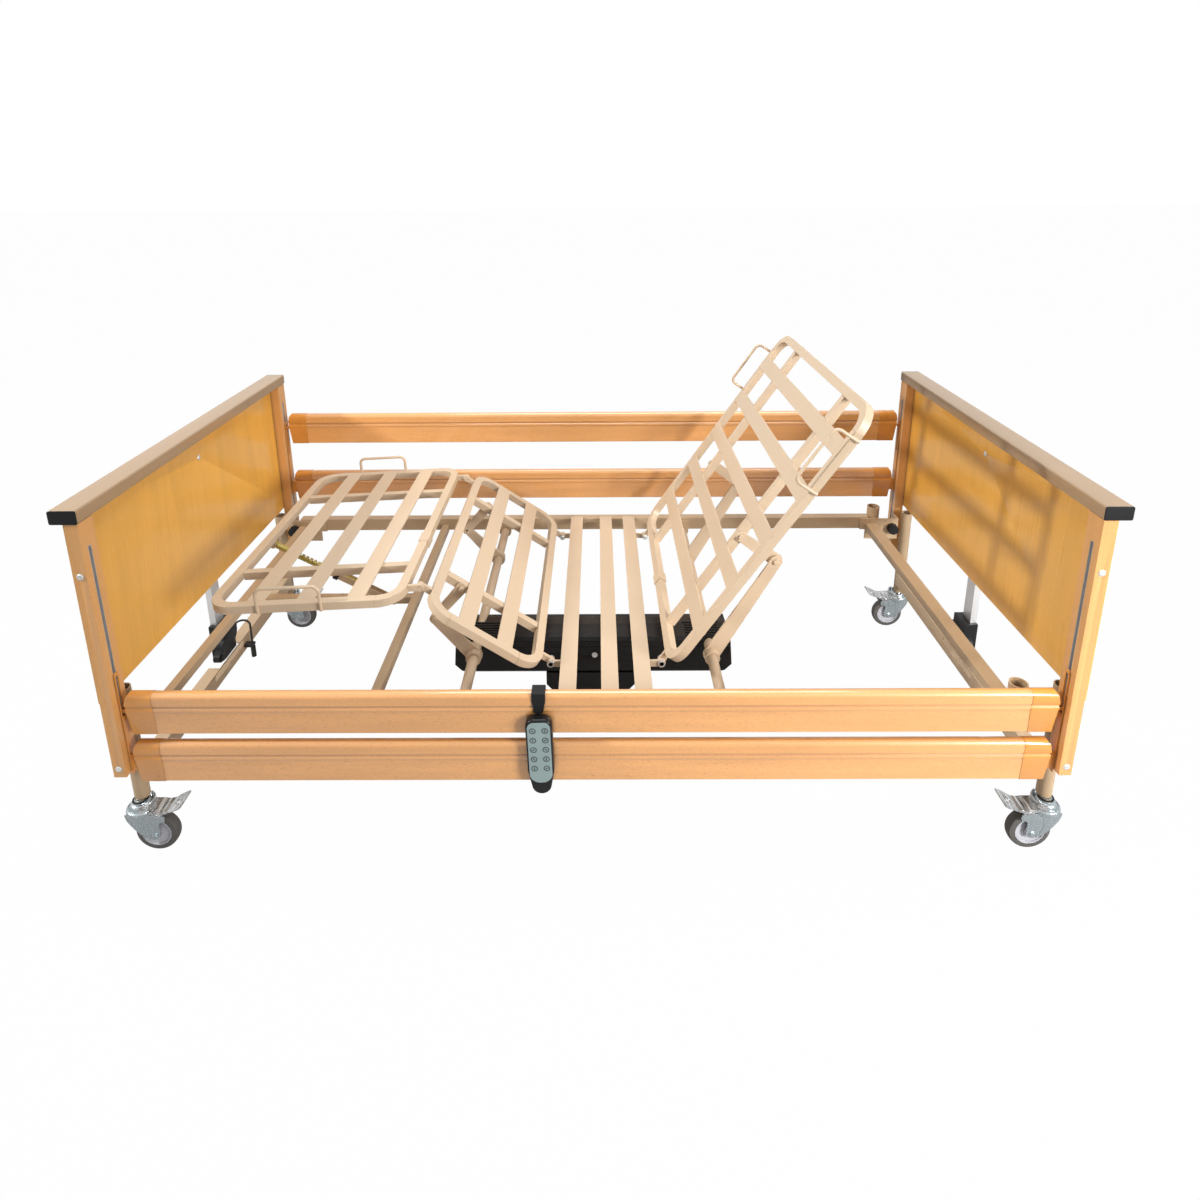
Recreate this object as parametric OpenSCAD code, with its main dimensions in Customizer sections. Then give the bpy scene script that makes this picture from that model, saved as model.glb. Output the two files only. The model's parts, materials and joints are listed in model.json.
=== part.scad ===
// Adjustable care bed: wooden end boards, lifting bases on braked castors,
// four-part metal deck with a twin drive, and guided wooden side rails.
// X runs from the foot end (-) to the head end (+), Y across the bed, Z up.

/* [Overall] */
// Length over the cap rails
bed_length = 2180; // [1980:10:2280]
// Width over the cap rails
bed_width = 1040; // [940:10:1240]
// Height of the cap rails above the floor
cap_height = 908; // [860:2:960]
// Width of a cap rail
cap_w = 58; // [54:1:70]
// Thickness of a cap rail
cap_t = 30; // [24:1:40]

/* [End boards] */
// Width of a wooden post, along the bed
post_w = 31; // [28:1:31]
// Depth of a wooden post, across the bed
post_d = 47; // [44:1:54]
// Height of the post feet above the floor
post_z = 262; // [240:2:290]
// Height of the board's lower edge above the floor
board_z = 447; // [430:1:470]
// Thickness of a board
board_t = 8; // [6:1:8]

/* [Side rails] */
// Height of one side rail
rail_h = 102; // [90:1:108]
// Thickness of a side rail
rail_t = 25; // [20:1:28]
// Length over the rail end caps
rail_len = 2036; // [1800:2:2136]
// Top of the upper rail when it is down
rail_low_top = 466; // [440:1:490]
// Pitch between the two rails when they are down
rail_low_pitch = 125.5; // [112:0.5:135]
// Pitch between the two rails when they are up
rail_high_pitch = 204; // [180:1:220]
// Lift of the upper rail
rail_lift = 314; // [260:2:330]

/* [Main frame] */
// Width over the long beams
frame_w = 930; // [900:2:940]
// Height of a long beam
beam_h = 40; // [34:1:44]
// Width of a long beam
beam_w = 30; // [24:1:36]
// Underside of the long beams
beam_z = 380; // [374:1:386]

/* [Deck] */
// Gap between the deck loops and the long beams
deck_gap = 45; // [30:1:50]
// Height of a deck tube
tube_h = 20; // [16:1:24]
// Width of a deck tube
tube_w = 22; // [18:1:26]
// Corner radius of a deck loop
loop_r = 62; // [50:1:70]
// Width of a metal slat
slat_w = 42; // [34:1:50]
// Thickness of a metal slat
slat_t = 4; // [3:0.5:5]
// Height of the deck hinges above the floor
hinge_z = 414; // [410:1:418]
// Thigh hinge position along the bed
thigh_x = -97; // [-105:1:-90]
// Backrest hinge position along the bed
back_x = 170; // [165:1:176]
// Length of the thigh section, hinge to hinge
thigh_len = 366; // [350:1:380]
// Length of the calf section
calf_len = 485; // [460:1:490]
// Length of the backrest
back_len = 787; // [760:1:790]
// Backrest angle as shown
back_angle = 56; // [50:1:60]
// Thigh angle as shown
thigh_angle = 34; // [30:1:36]
// Fall of the calf section towards the foot end
calf_fall = 2.8; // [0:0.2:6]

/* [Lifting levers] */
// Spacing of the two torsion tubes
torsion_pitch = 601; // [590:1:610]
// Outer diameter of a torsion tube
torsion_d = 26; // [22:1:30]
// Distance of the levers from the bed's middle line
lever_y = 222; // [216:1:230]
// Length of a backrest lever
back_lever = 299; // [290:1:305]
// Length of a backrest link
back_link = 107; // [103:1:112]
// Length of a thigh lever
thigh_lever = 140; // [135:1:145]
// Length of a thigh link
thigh_link = 106; // [102:1:110]

/* [Castors] */
// Wheel diameter
wheel_d = 100; // [90:1:104]
// Wheel width
wheel_w = 28; // [24:1:30]
// Trail of the wheel behind its swivel axis
trail = 31; // [24:1:36]
// Width of a leg, along the bed
leg_w = 34; // [30:1:36]
// Depth of a leg, across the bed
leg_d = 30; // [26:1:34]
// Underside of the legs
leg_z = 140; // [136:1:146]

/* [Lifting bases] */
// Underside of the base beams
base_z = 170; // [168:1:180]
// Height of a base beam
base_h = 44; // [36:1:50]
// Width of a lifting column, across the bed
column_w = 42; // [36:1:46]
// Thickness of a lifting column
column_t = 17; // [15:1:17]

/* [Handset] */
// Handset width
handset_w = 59; // [54:1:68]
// Handset length
handset_l = 193; // [180:1:210]
// Handset thickness
handset_t = 22; // [18:1:26]
// Handset position along the bed
handset_x = -113; // [-300:1:300]

/* [Hidden] */
$fn = 48;
e = 0.1;
half_l = bed_length / 2;
half_w = bed_width / 2;
// posts
post_out = half_l - 25;
post_in = post_out - post_w;
post_y = half_w - 2 - post_d / 2;
post_top = cap_height - cap_t;
slot_w = 8;
slot_deep = 14;
run_gap = 0.3;
pin_d = slot_w - 2 * run_gap;
slot_top = rail_low_top + rail_lift + 40;
slot_bot = post_z + 13;
// boards
board_in = post_out - 3;
board_out = board_in + board_t;
board_half = half_w - 10;
// guides behind the boards
guide_t = 19;
guide_in = board_out + e;
guide_wall = 2;
bar_t = guide_t - 2 * guide_wall - 0.6;
bar_w = leg_d;
bar_x = guide_in + guide_t / 2;
bar_step = 6;
leg_x = guide_in + guide_wall + 0.3 + bar_t - leg_w / 2 - bar_step;
leg_y = half_w - 2 - post_d - 7 - leg_d / 2;
// rails
rail_y = post_y;
rail_half = rail_len / 2;
cap_len = 56;
rail_low_rise = rail_lift - (rail_high_pitch - rail_low_pitch);
strip_w = slot_w + 5;
strip_t = 3;
strip_x = post_in - 0.4 - strip_t;
strip_over = 72 - rail_h + 102 - 6;
// frame
beam_y = frame_w / 2 - beam_w / 2;
beam_in = frame_w / 2 - beam_w;
beam_top = beam_z + beam_h;
head_end = 935;
foot_end = 995;
plate_t = 6;
plate_y = beam_in - plate_t - e;
plate_x = 905;
screw_x = 1013;
cross_t = 23;
cross_top = beam_z + 19;
head_cross_x = 943;
head_cross_w = 36;
foot_cross_x = -984;
foot_cross_w = 22;
mid_cross_x = -500;
socket_d = 40;
socket_bore = 34;
socket_x = head_end + socket_d / 2 + e;
socket_y = beam_in + socket_d / 2 + e;
socket_low = beam_z - 40;
socket_h = 112;
screw_z = beam_z + 5;
// deck
deck_half = beam_in - deck_gap;
loop_gap = 0.2;
bar_y = 220;
bar_sq = 20;
bar_n = tube_h / 2 - slat_t - e - bar_sq / 2;
lug_y = 327;
lug_t = 8;
ear_side = -lug_t - run_gap;
hinge_d = 10;
back_slat_first = 156;
back_slat_pitch = 130;
calf_slat_first = 137;
calf_slat_pitch = 117;
thigh_slat_first = 131;
thigh_slat_pitch = 104;
seat_slat_1 = -53;
seat_slat_2 = 44;
seat_slat_3 = 121;
grip_d = 8;
grip_len = 145;
grip_h = 54;
back_grip_u = 640;
calf_grip_u = 283;
knee_x = thigh_x - thigh_len * cos(thigh_angle);
knee_z = hinge_z + thigh_len * sin(thigh_angle);
// torsion tubes and levers
torsion_z = beam_z - 4;
hanger_t = 8;
t1_x = torsion_pitch / 2 + 3.5;
t2_x = 3.5 - torsion_pitch / 2;
back_bolt_u = 345;
bolt_n = -5;
thigh_bolt_u = 268;
back_bolt_x = back_x + back_bolt_u * cos(back_angle) - bolt_n * sin(back_angle);
back_bolt_z = hinge_z + back_bolt_u * sin(back_angle) + bolt_n * cos(back_angle);
thigh_bolt_x = thigh_x - thigh_bolt_u * cos(thigh_angle) + bolt_n * sin(thigh_angle);
thigh_bolt_z = hinge_z + thigh_bolt_u * sin(thigh_angle) + bolt_n * cos(thigh_angle);
back_d = norm([back_bolt_x - t1_x, back_bolt_z - torsion_z]);
back_open = acos((back_lever * back_lever + back_d * back_d - back_link * back_link)
    / (2 * back_lever * back_d));
back_lever_a = atan2(back_bolt_z - torsion_z, back_bolt_x - t1_x) - back_open;
back_p_x = t1_x + back_lever * cos(back_lever_a);
back_p_z = torsion_z + back_lever * sin(back_lever_a);
back_link_a = atan2(back_p_z - back_bolt_z, back_p_x - back_bolt_x);
thigh_d = norm([thigh_bolt_x - t2_x, thigh_bolt_z - torsion_z]);
thigh_open = acos((thigh_lever * thigh_lever + thigh_d * thigh_d - thigh_link * thigh_link)
    / (2 * thigh_lever * thigh_d));
thigh_lever_a = atan2(thigh_bolt_z - torsion_z, thigh_bolt_x - t2_x) + thigh_open;
thigh_p_x = t2_x + thigh_lever * cos(thigh_lever_a);
thigh_p_z = torsion_z + thigh_lever * sin(thigh_lever_a);
thigh_link_a = atan2(thigh_p_z - thigh_bolt_z, thigh_p_x - thigh_bolt_x);
lever_t = 6;
link_t = 5;
link_mid = bar_y + bar_sq / 2 + 3.6;
lever_mid = lever_y + 20;
// stay under the calf section
stay_y = -26;
stay_u = 473;
stay_n = -22;
stay_w = 20;
stay_lo_x = -567;
stay_lo_z = 403;
stay_hi_x = knee_x - stay_u * cos(calf_fall) - stay_n * sin(calf_fall);
stay_hi_z = knee_z - stay_u * sin(calf_fall) + stay_n * cos(calf_fall);
stay_a = atan2(stay_hi_z - stay_lo_z, stay_lo_x - stay_hi_x);
stay_l = norm([stay_hi_x - stay_lo_x, stay_hi_z - stay_lo_z]);
// drive
motor_len = 722;
motor_y = -lever_y + 22;
motor_d = 138;
motor_z = 289;
motor_h = 104;
// castors
axle_z = wheel_d / 2;
cheek_y = wheel_w / 2 + 3;
cheek_t = 3;
cup_d = 66;
cup_top = leg_z - 10;
crown_z = cup_top - 24;
pedal_len = 112;
// handset
hang = 48;
face_low = 195;
handset_tilt = 1.5;
key_pitch_x = 27;
key_pitch_z = 24.3;
key_d = 15;
handset_y = rail_y + rail_t / 2 + 0.5 + handset_t / 2;
y_mid = (handset_y + handset_t / 2 - half_w) / 2;

// ---------- shared shapes ----------

module at_bed() { translate([0, y_mid, 0]) children(); }

module ends() { for (s = [-1, 1]) scale([s, 1, 1]) children(); }

module sides() { for (s = [-1, 1]) scale([1, s, 1]) children(); }

module tube_x(x0, x1, y, z, w, h, t = 2) {
    translate([x0, y - w / 2, z]) difference() {
        cube([x1 - x0, w, h]);
        translate([-1, t, t]) cube([x1 - x0 + 2, w - 2 * t, h - 2 * t]);
    }
}

module tube_y(y0, y1, x, z, w, h, t = 2) {
    translate([x - w / 2, y0, z]) difference() {
        cube([w, y1 - y0, h]);
        translate([t, -1, t]) cube([w - 2 * t, y1 - y0 + 2, h - 2 * t]);
    }
}

module rod_y(d, y0, y1) { translate([0, y0, 0]) rotate([-90, 0, 0]) cylinder(d = d, h = y1 - y0); }

module rod_x(d, x0, x1) { translate([x0, 0, 0]) rotate([0, 90, 0]) cylinder(d = d, h = x1 - x0); }

module eye_bar(len, w0, w1, t, bore0, bore1) {
    rotate([90, 0, 0]) linear_extrude(t, center = true) difference() {
        union() {
            circle(d = w0);
            translate([len, 0]) circle(d = w1);
            polygon([[0, 0.4 - w0 / 2], [len, 0.4 - w1 / 2], [len, w1 / 2 - 0.4], [0, w0 / 2 - 0.4]]);
        }
        circle(d = bore0);
        translate([len, 0]) circle(d = bore1);
    }
}

// quarter bend of a rectangular deck tube, centred on the bend's centre
module bend(r, a0) {
    rotate([0, 0, a0]) rotate_extrude(angle = 90) translate([r - tube_w, -tube_h / 2])
        square([tube_w, tube_h]);
}

// closed deck loop lying in local X (u) and Y, from u0 to u1
module loop(u0, u1) {
    g = loop_gap;
    r = loop_r;
    h = deck_half;
    for (s = [-1, 1]) {
        tube_x(u0 + r + g, u1 - r - g, s * (h - tube_w / 2), -tube_h / 2, tube_w, tube_h);
        translate([u0 + r, s * (h - r), 0]) bend(r, s > 0 ? 90 : 180);
        translate([u1 - r, s * (h - r), 0]) bend(r, s > 0 ? 0 : 270);
    }
    tube_y(-h + r + g, h - r - g, u0 + tube_w / 2, -tube_h / 2, tube_w, tube_h);
    tube_y(-h + r + g, h - r - g, u1 - tube_w / 2, -tube_h / 2, tube_w, tube_h);
}

// sleeve over the tube joint at one end of a loop
module sleeve(u, y) {
    translate([u, y, 0]) rotate([90, 0, 0]) linear_extrude(44, center = true) difference() {
        square([tube_w + 4.4, tube_h + 4.4], center = true);
        square([tube_w + 0.4, tube_h + 0.4], center = true);
    }
}

module long_bars(u0, u1) {
    for (s = [-1, 1])
        tube_x(u0 + tube_w + e, u1 - tube_w - e, s * bar_y, bar_n - bar_sq / 2, bar_sq, bar_sq);
}

module slat(u) {
    reach = deck_half - tube_w - e;
    translate([u - slat_w / 2, -reach, tube_h / 2 - slat_t]) cube([slat_w, 2 * reach, slat_t]);
}

// hinge ears fixed to a loop, reaching to the hinge line at local u = 0 or u = reach
module ears(u0, u1, side, drop = 0) {
    for (s = [-1, 1]) translate([0, s * (lug_y + side), 0]) difference() {
        union() {
            translate([u0, -lug_t / 2, -tube_h / 2 + 2]) cube([u1 - u0, lug_t, tube_h - 4]);
            rod_y(tube_h - 2, -lug_t / 2, lug_t / 2);
        }
        rod_y(hinge_d + 0.6, -lug_t, lug_t);
    }
}

// wire grip standing on the outer face of a loop
module grip(u, s) {
    r = 16;
    y = s * (deck_half + grip_d / 2 + e);
    foot = -tube_h / 2 + 2;
    translate([u, y, 0]) {
        for (q = [-1, 1]) {
            translate([q * grip_len / 2, 0, foot]) cylinder(d = grip_d, h = grip_h - r - foot - e);
            translate([q * (grip_len / 2 - r), 0, grip_h - r]) rotate([90, 0, 0])
                rotate([0, 0, q > 0 ? 0 : 90]) rotate_extrude(angle = 90)
                translate([r, 0]) circle(d = grip_d);
        }
        translate([0, 0, grip_h]) rod_x(grip_d, r - grip_len / 2 + e, grip_len / 2 - r - e);
    }
}

// ---------- fixed frame ----------

module main_frame() color("BurlyWood") at_bed() {
    sides() tube_x(-foot_end, head_end, beam_y, beam_z, beam_w, beam_h);
    cross(head_cross_x, head_cross_w, plate_y - e);
    cross(foot_cross_x, foot_cross_w, plate_y - e);
    cross(mid_cross_x, 22, beam_in - e);
    // middle tube that carries the calf stay
    difference() {
        tube_x(foot_cross_x + foot_cross_w / 2 + e, mid_cross_x - 11 - e, 0, cross_top - cross_t, 20, 22);
        translate([stay_lo_x, 0, stay_lo_z]) rod_y(hinge_d, -40, 40);
    }
    // stay bracket beside the middle tube
    translate([stay_lo_x, stay_y + stay_w / 2 + 2.5, stay_lo_z]) difference() {
        union() {
            rod_y(20, -2, 2);
            translate([-10, -2, -26]) cube([20, 4, 26]);
        }
        rod_y(8.6, -3, 3);
    }
    translate([stay_lo_x - 10, stay_y + stay_w / 2 + 4.6, cross_top - cross_t])
        cube([20, -stay_y - stay_w / 2 - 14.7, 18]);
    // hangers for the two torsion tubes
    for (x = [t1_x, t2_x]) sides() hanger(x);
}

// cross tube butted between the long beams or their corner plates
module cross(x, w, reach) { tube_y(-reach, reach, x, cross_top - cross_t, w, cross_t); }

module hanger(x) {
    translate([x, beam_in - hanger_t - e, torsion_z]) difference() {
        union() {
            rod_y(torsion_d + 14, 0, hanger_t);
            translate([-20, 0, 0]) cube([40, hanger_t, beam_top - 8 - torsion_z]);
        }
        rod_y(torsion_d + 1, -1, hanger_t + 1);
    }
}

module seat_deck() color("Wheat") at_bed() {
    for (x = [seat_slat_1, seat_slat_2, seat_slat_3])
        translate([x - slat_w / 2 + 1, -beam_in - 8, beam_top + e]) cube([slat_w - 2, 2 * beam_in + 16, slat_t]);
    // short plates with the hinge eyes, hung from the first and the last slat
    sides() translate([0, lug_y, 0]) difference() {
        union() {
            translate([thigh_x, 0, hinge_z]) rod_y(20, -3, 3);
            translate([back_x, 0, hinge_z]) rod_y(20, -3, 3);
            translate([thigh_x, -3, hinge_z - 10])
                cube([seat_slat_1 + slat_w / 2 - 3 - thigh_x, 6, beam_top - hinge_z + 10]);
            translate([seat_slat_3 - slat_w / 2 + 3, -3, hinge_z - 10])
                cube([back_x - seat_slat_3 + slat_w / 2 - 3, 6, beam_top - hinge_z + 10]);
        }
        translate([thigh_x, 0, hinge_z]) rod_y(hinge_d, -5, 5);
        translate([back_x, 0, hinge_z]) rod_y(hinge_d, -5, 5);
    }
}

module corner_plates() color("Tan") at_bed() ends() sides() {
    x0 = plate_x;
    z0 = beam_z - 36;
    z1 = beam_top - 3;
    x1 = post_in - 0.4;
    difference() {
        translate([x0, plate_y, z0]) cube([x1 - 6 - x0, plate_t, z1 - z0]);
        translate([x0 - 1, plate_y - 1, z0 - 1]) cube([20, plate_t + 2, 36]);
        translate([screw_x, plate_y, screw_z]) rod_y(10.5, -1, plate_t + 1);
    }
    translate([x1 - 6 + e, plate_y, z0]) cube([6 - e, post_y - post_d / 2 + 1 - plate_y, z1 - z0]);
    // guide tubes behind the board
    difference() {
        translate([guide_in, leg_y - bar_w / 2 - 3, board_z + 4]) cube([guide_t, bar_w + 6, post_top - board_z - 4.2]);
        translate([guide_in + guide_wall, leg_y - bar_w / 2 - 1, board_z]) cube([guide_t - 2 * guide_wall, bar_w + 2, 900]);
    }
}

module hand_screws() color("Black") at_bed() ends() sides() {
    translate([screw_x, plate_y, screw_z]) {
        rod_y(10, -e - 1, plate_t + 8);
        difference() {
            rod_y(34, -22, -0.2);
            for (a = [0:30:330]) rotate([0, a, 0]) translate([18.5, 0, 0]) rod_y(6, -23, 0);
        }
    }
}

module pole_sockets() color("BurlyWood") at_bed() sides() {
    translate([socket_x, socket_y, socket_low]) difference() {
        cylinder(d = socket_d, h = socket_h);
        translate([0, 0, 8]) cylinder(d = socket_bore, h = socket_h);
        translate([0, 0, -1]) cylinder(d = 14, h = 12);
    }
}

// ---------- end boards ----------

module board() {
    difference() {
        translate([board_in, -board_half, board_z]) cube([board_t, 2 * board_half, post_top - board_z - e]);
        translate([0, 0, post_top - 60]) rod_x(5, board_in - 1, board_in + 5);
    }
}

module head_board() color("Goldenrod") at_bed() board();

module foot_board() color("Goldenrod") at_bed() scale([-1, 1, 1]) board();

module posts() color("Peru") at_bed() ends() sides() difference() {
    translate([post_in, post_y - post_d / 2, post_z])
        cube([board_in - e - post_in, post_d, post_top - post_z - e]);
    translate([post_in - 1, post_y - slot_w / 2 - 1, slot_bot])
        cube([slot_deep + 2, slot_w + 2, slot_top - slot_bot]);
    for (z = [post_top - 118, post_z + 22]) translate([post_in + post_w / 2 - 1, 0, z])
        rod_y(6.2, post_y + post_d / 2 - 14, post_y + post_d);
}

module cap_rails() color("Tan") at_bed() ends() difference() {
    translate([half_l - cap_w, -half_w + 2, post_top]) rotate([-90, 0, 0]) linear_extrude(2 * half_w - 4)
        offset(r = 4) offset(delta = -4) translate([0, -cap_t]) square([cap_w, cap_t]);
    translate([half_l - cap_w + 4, -half_w, post_top + 4]) cube([cap_w - 8, 2 * half_w, cap_t - 8]);
}

module cap_plugs() color("Black") at_bed() ends() sides() {
    translate([half_l - cap_w, half_w - 2 + 0.05, post_top]) rotate([-90, 0, 0]) linear_extrude(2 - 0.05)
        offset(r = 4) offset(delta = -4) translate([0, -cap_t]) square([cap_w, cap_t]);
    translate([half_l - cap_w + 4.2, half_w - 24, post_top + 4.2]) cube([cap_w - 8.4, 22.1, cap_t - 8.4]);
}

module slot_channels() color("Silver") at_bed() ends() sides() difference() {
    translate([post_in + 0.2, post_y - slot_w / 2 - 0.9, slot_bot + e])
        cube([slot_deep + 0.6, slot_w + 1.8, slot_top - slot_bot - 2 * e]);
    translate([post_in - 1, post_y - slot_w / 2, slot_bot + 1])
        cube([slot_deep + 1, slot_w, slot_top - slot_bot - 2]);
}

module bolt_head(d, h) {
    cylinder(d = d, h = h);
    translate([0, 0, h]) cylinder(d1 = d, d2 = d - 3, h = 1.5);
}

module fasteners() color("Silver") at_bed() {
    // post bolts
    ends() sides() for (z = [post_top - 118, post_z + 22])
        translate([post_in + post_w / 2 - 1, post_y + post_d / 2 + e, z]) rotate([-90, 0, 0]) {
            bolt_head(15, 0.4);
            translate([0, 0, -12]) cylinder(d = 5.8, h = 12);
        }
    // board screws
    ends() translate([board_in - 1.6, 0, post_top - 60]) {
        rod_x(9, 0, 1.5);
        rod_x(4.8, 0, 5);
    }
    // hinge bolts of the seat part
    sides() for (x = [thigh_x, back_x]) translate([x, lug_y, hinge_z]) {
        rod_y(hinge_d - 0.2, -15.5, 3);
        rod_y(17, -20.5, -15.5);
        rod_y(17, 3.1, 8);
    }
    // lower bolt of the calf stay
    translate([stay_lo_x, stay_y, stay_lo_z]) {
        rod_y(8, -stay_w / 2 - 6, stay_w / 2 + 4.4);
        rod_y(14, -stay_w / 2 - 10, -stay_w / 2 - 6);
    }
}

// ---------- drive and lifting ends ----------

module motor_profile() {
    polygon([[0, 8], [0, 96], [8, 104], [66, 104], [66, 100], [128, 92], [138, 80], [138, 12],
        [126, 0], [8, 0]]);
}

module motor_case() color("#221E1C") at_bed() difference() {
    union() {
        intersection() {
            translate([4 - motor_len / 2, motor_y, motor_z]) rotate([90, 0, 90])
                linear_extrude(motor_len) motor_profile();
            translate([4, motor_y + 200, motor_z]) rotate([90, 0, 0]) linear_extrude(300) polygon([
                [-motor_len / 2, 26], [-motor_len / 2 + 6, 106], [motor_len / 2 - 6, 106],
                [motor_len / 2, 26], [motor_len / 2 - 26, -1], [26 - motor_len / 2, -1]]);
        }
        translate([-3, motor_y + 20, motor_z]) rotate([90, 0, 0]) linear_extrude(19.9) polygon([
            [-116, 1], [-116, -34], [-98, -54], [98, -54], [116, -34], [116, 1]]);
    }
    // ribs on the top face near both ends
    for (s = [-1, 1]) for (k = [0:4])
        translate([4 + s * 285 - 44, motor_y + 10 + 11 * k, motor_z + motor_h - 4]) cube([88, 4.5, 10]);
    // bearings for the two torsion tubes
    for (x = [t1_x, t2_x]) translate([x, motor_y, torsion_z]) rod_y(torsion_d + 1, -5, motor_d + 5);
    // panel line along the front
    translate([-motor_len, motor_y - 1, motor_z + motor_h - 26]) cube([2 * motor_len, 2, 2]);
    translate([8, motor_y, motor_z + 55]) rod_y(15, -1, 6);
}

module motor_plug() color("Silver") at_bed() translate([8, motor_y, motor_z + 55]) difference() {
    rod_y(14.6, -1.5, 5.5);
    translate([-5, -2, -1]) cube([10, 1.5, 2]);
}

module actuator_rods() color("Silver") at_bed() ends() translate([bar_x, 0, board_z + 8]) {
    cylinder(d = 10, h = post_top - board_z - 8.2);
}

module base_frame() {
    beam_half = leg_y - leg_d / 2 - e;
    // channel beam, open on the outer side
    difference() {
        translate([leg_x - leg_w / 2, -beam_half, base_z]) cube([leg_w, 2 * beam_half, base_h]);
        translate([leg_x - leg_w / 2 + 2.5, -beam_half - 1, base_z + 2.5])
            cube([leg_w, 2 * beam_half + 2, base_h - 5]);
        // window for the lifting drive
        translate([leg_x - leg_w / 2 + 2.5, -74, base_z + 10]) cube([leg_w, 118, base_h]);
        // oval slot in the inner web
        hull() for (y = [-95, 60]) translate([leg_x - leg_w / 2, y, base_z + base_h - 14])
            rod_x(18, -2, 4);
    }
    // legs
    sides() {
        translate([leg_x - leg_w / 2, leg_y - leg_d / 2, leg_z]) linear_extrude(board_z - 12 - leg_z)
            difference() {
                translate([5, 5]) offset(r = 5) square([leg_w - 10, leg_d - 10]);
                translate([5, 5]) offset(r = 3) square([leg_w - 10, leg_d - 10]);
            }
        translate([guide_in + guide_wall + 0.3, leg_y - bar_w / 2, board_z - 12 + e])
            cube([bar_t, bar_w, post_top - board_z - 8]);
        // castor seat at the leg's foot
        translate([leg_x, leg_y, leg_z - 1]) cylinder(d = 26, h = 0.9);
        // gusset between leg and beam
        translate([leg_x - leg_w / 2 + 4, leg_y - leg_d / 2 - e, base_z - e]) rotate([90, 0, 0])
            rotate([0, -90, 180]) linear_extrude(3) polygon([[0, 0], [-24, 0], [0, -40]]);
    }
}

// drive housing of one lifting end: gearbox block with the motor and a clevis lobe
module actuator() {
    x0 = leg_x - leg_w / 2 + 4;
    z0 = base_z + base_h + e;
    difference() {
        union() {
            translate([x0, -32, z0]) cube([guide_in + guide_t - x0 - 0.5, 64, 102]);
            hull() {
                translate([x0 - 2, -18, z0 + 34]) rod_x(58, 0, 26);
                translate([x0 - 2, 16, z0 + 54]) rod_x(58, 0, 26);
            }
            hull() {
                translate([x0 - 2, -40, z0 + 22]) rod_x(36, 0, 18);
                translate([x0 - 2, -58, z0 + 22]) rod_x(26, 0, 18);
            }
        }
        translate([bar_x, 0, z0 + 40]) cylinder(d = 11, h = 100);
    }
    // bolt through the clevis lobe
    translate([x0 - 2.1, -58, z0 + 22]) rod_x(14, -7, 0);
}

module column() {
    z0 = base_z + base_h + 102 + 2 * e;
    difference() {
        translate([bar_x - column_t / 2, -column_w / 2, z0]) cube([column_t, column_w, post_top - 8 - z0]);
        translate([bar_x, 0, z0 - 1]) cylinder(d = 11, h = 900);
    }
}

module head_base() color("Tan") at_bed() base_frame();

module head_actuator() color("#1E1A18") at_bed() actuator();

module head_column() color("Silver") at_bed() column();

module foot_base() color("Tan") at_bed() scale([-1, 1, 1]) base_frame();

module foot_actuator() color("#1E1A18") at_bed() scale([-1, 1, 1]) actuator();

module foot_column() color("Silver") at_bed() scale([-1, 1, 1]) column();

// short drive lead: leaves the housing, crosses the beam and ends in a plug on its web
module foot_cable() color("#1C1A1A") at_bed() {
    web = leg_x - leg_w / 2;
    z0 = base_z + base_h;
    y0 = 58;
    r = 16;
    d = 6;
    translate([-(web + 12), 45 + e, z0 + 56]) rod_y(12, 0, 8);
    translate([-(web + 12), 0, z0 + 56]) rod_y(d, 45 + 8, y0);
    translate([-(web + 12) + r, y0, z0 + 56]) rotate([0, 0, 90]) rotate_extrude(angle = 90)
        translate([r, 0]) circle(d = d);
    translate([-(web + 12) + r, y0 + r, z0 + 56]) rod_x(d, 0, 2);
    translate([-(web + 12) + r + 2, y0 + r, z0 + 56 - r]) rotate([90, 0, 0]) rotate_extrude(angle = 90)
        translate([r, 0]) circle(d = d);
    translate([-(web + 12) + 2 * r + 2, y0 + r, base_z + 6]) cylinder(d = d, h = z0 + 56 - r - base_z - 6);
    translate([-(web + 12) + 2 * r + 2, y0 + r, base_z - 22]) cylinder(d = 14, h = 34);
    translate([-web + 0.2, y0 + r - 10, base_z + 14]) cube([26, 20, 8]);
}

// ---------- castors ----------

module at_castor(sx, sy) { at_bed() translate([sx * leg_x, sy * leg_y, 0]) scale([sx, 1, 1]) children(); }

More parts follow.
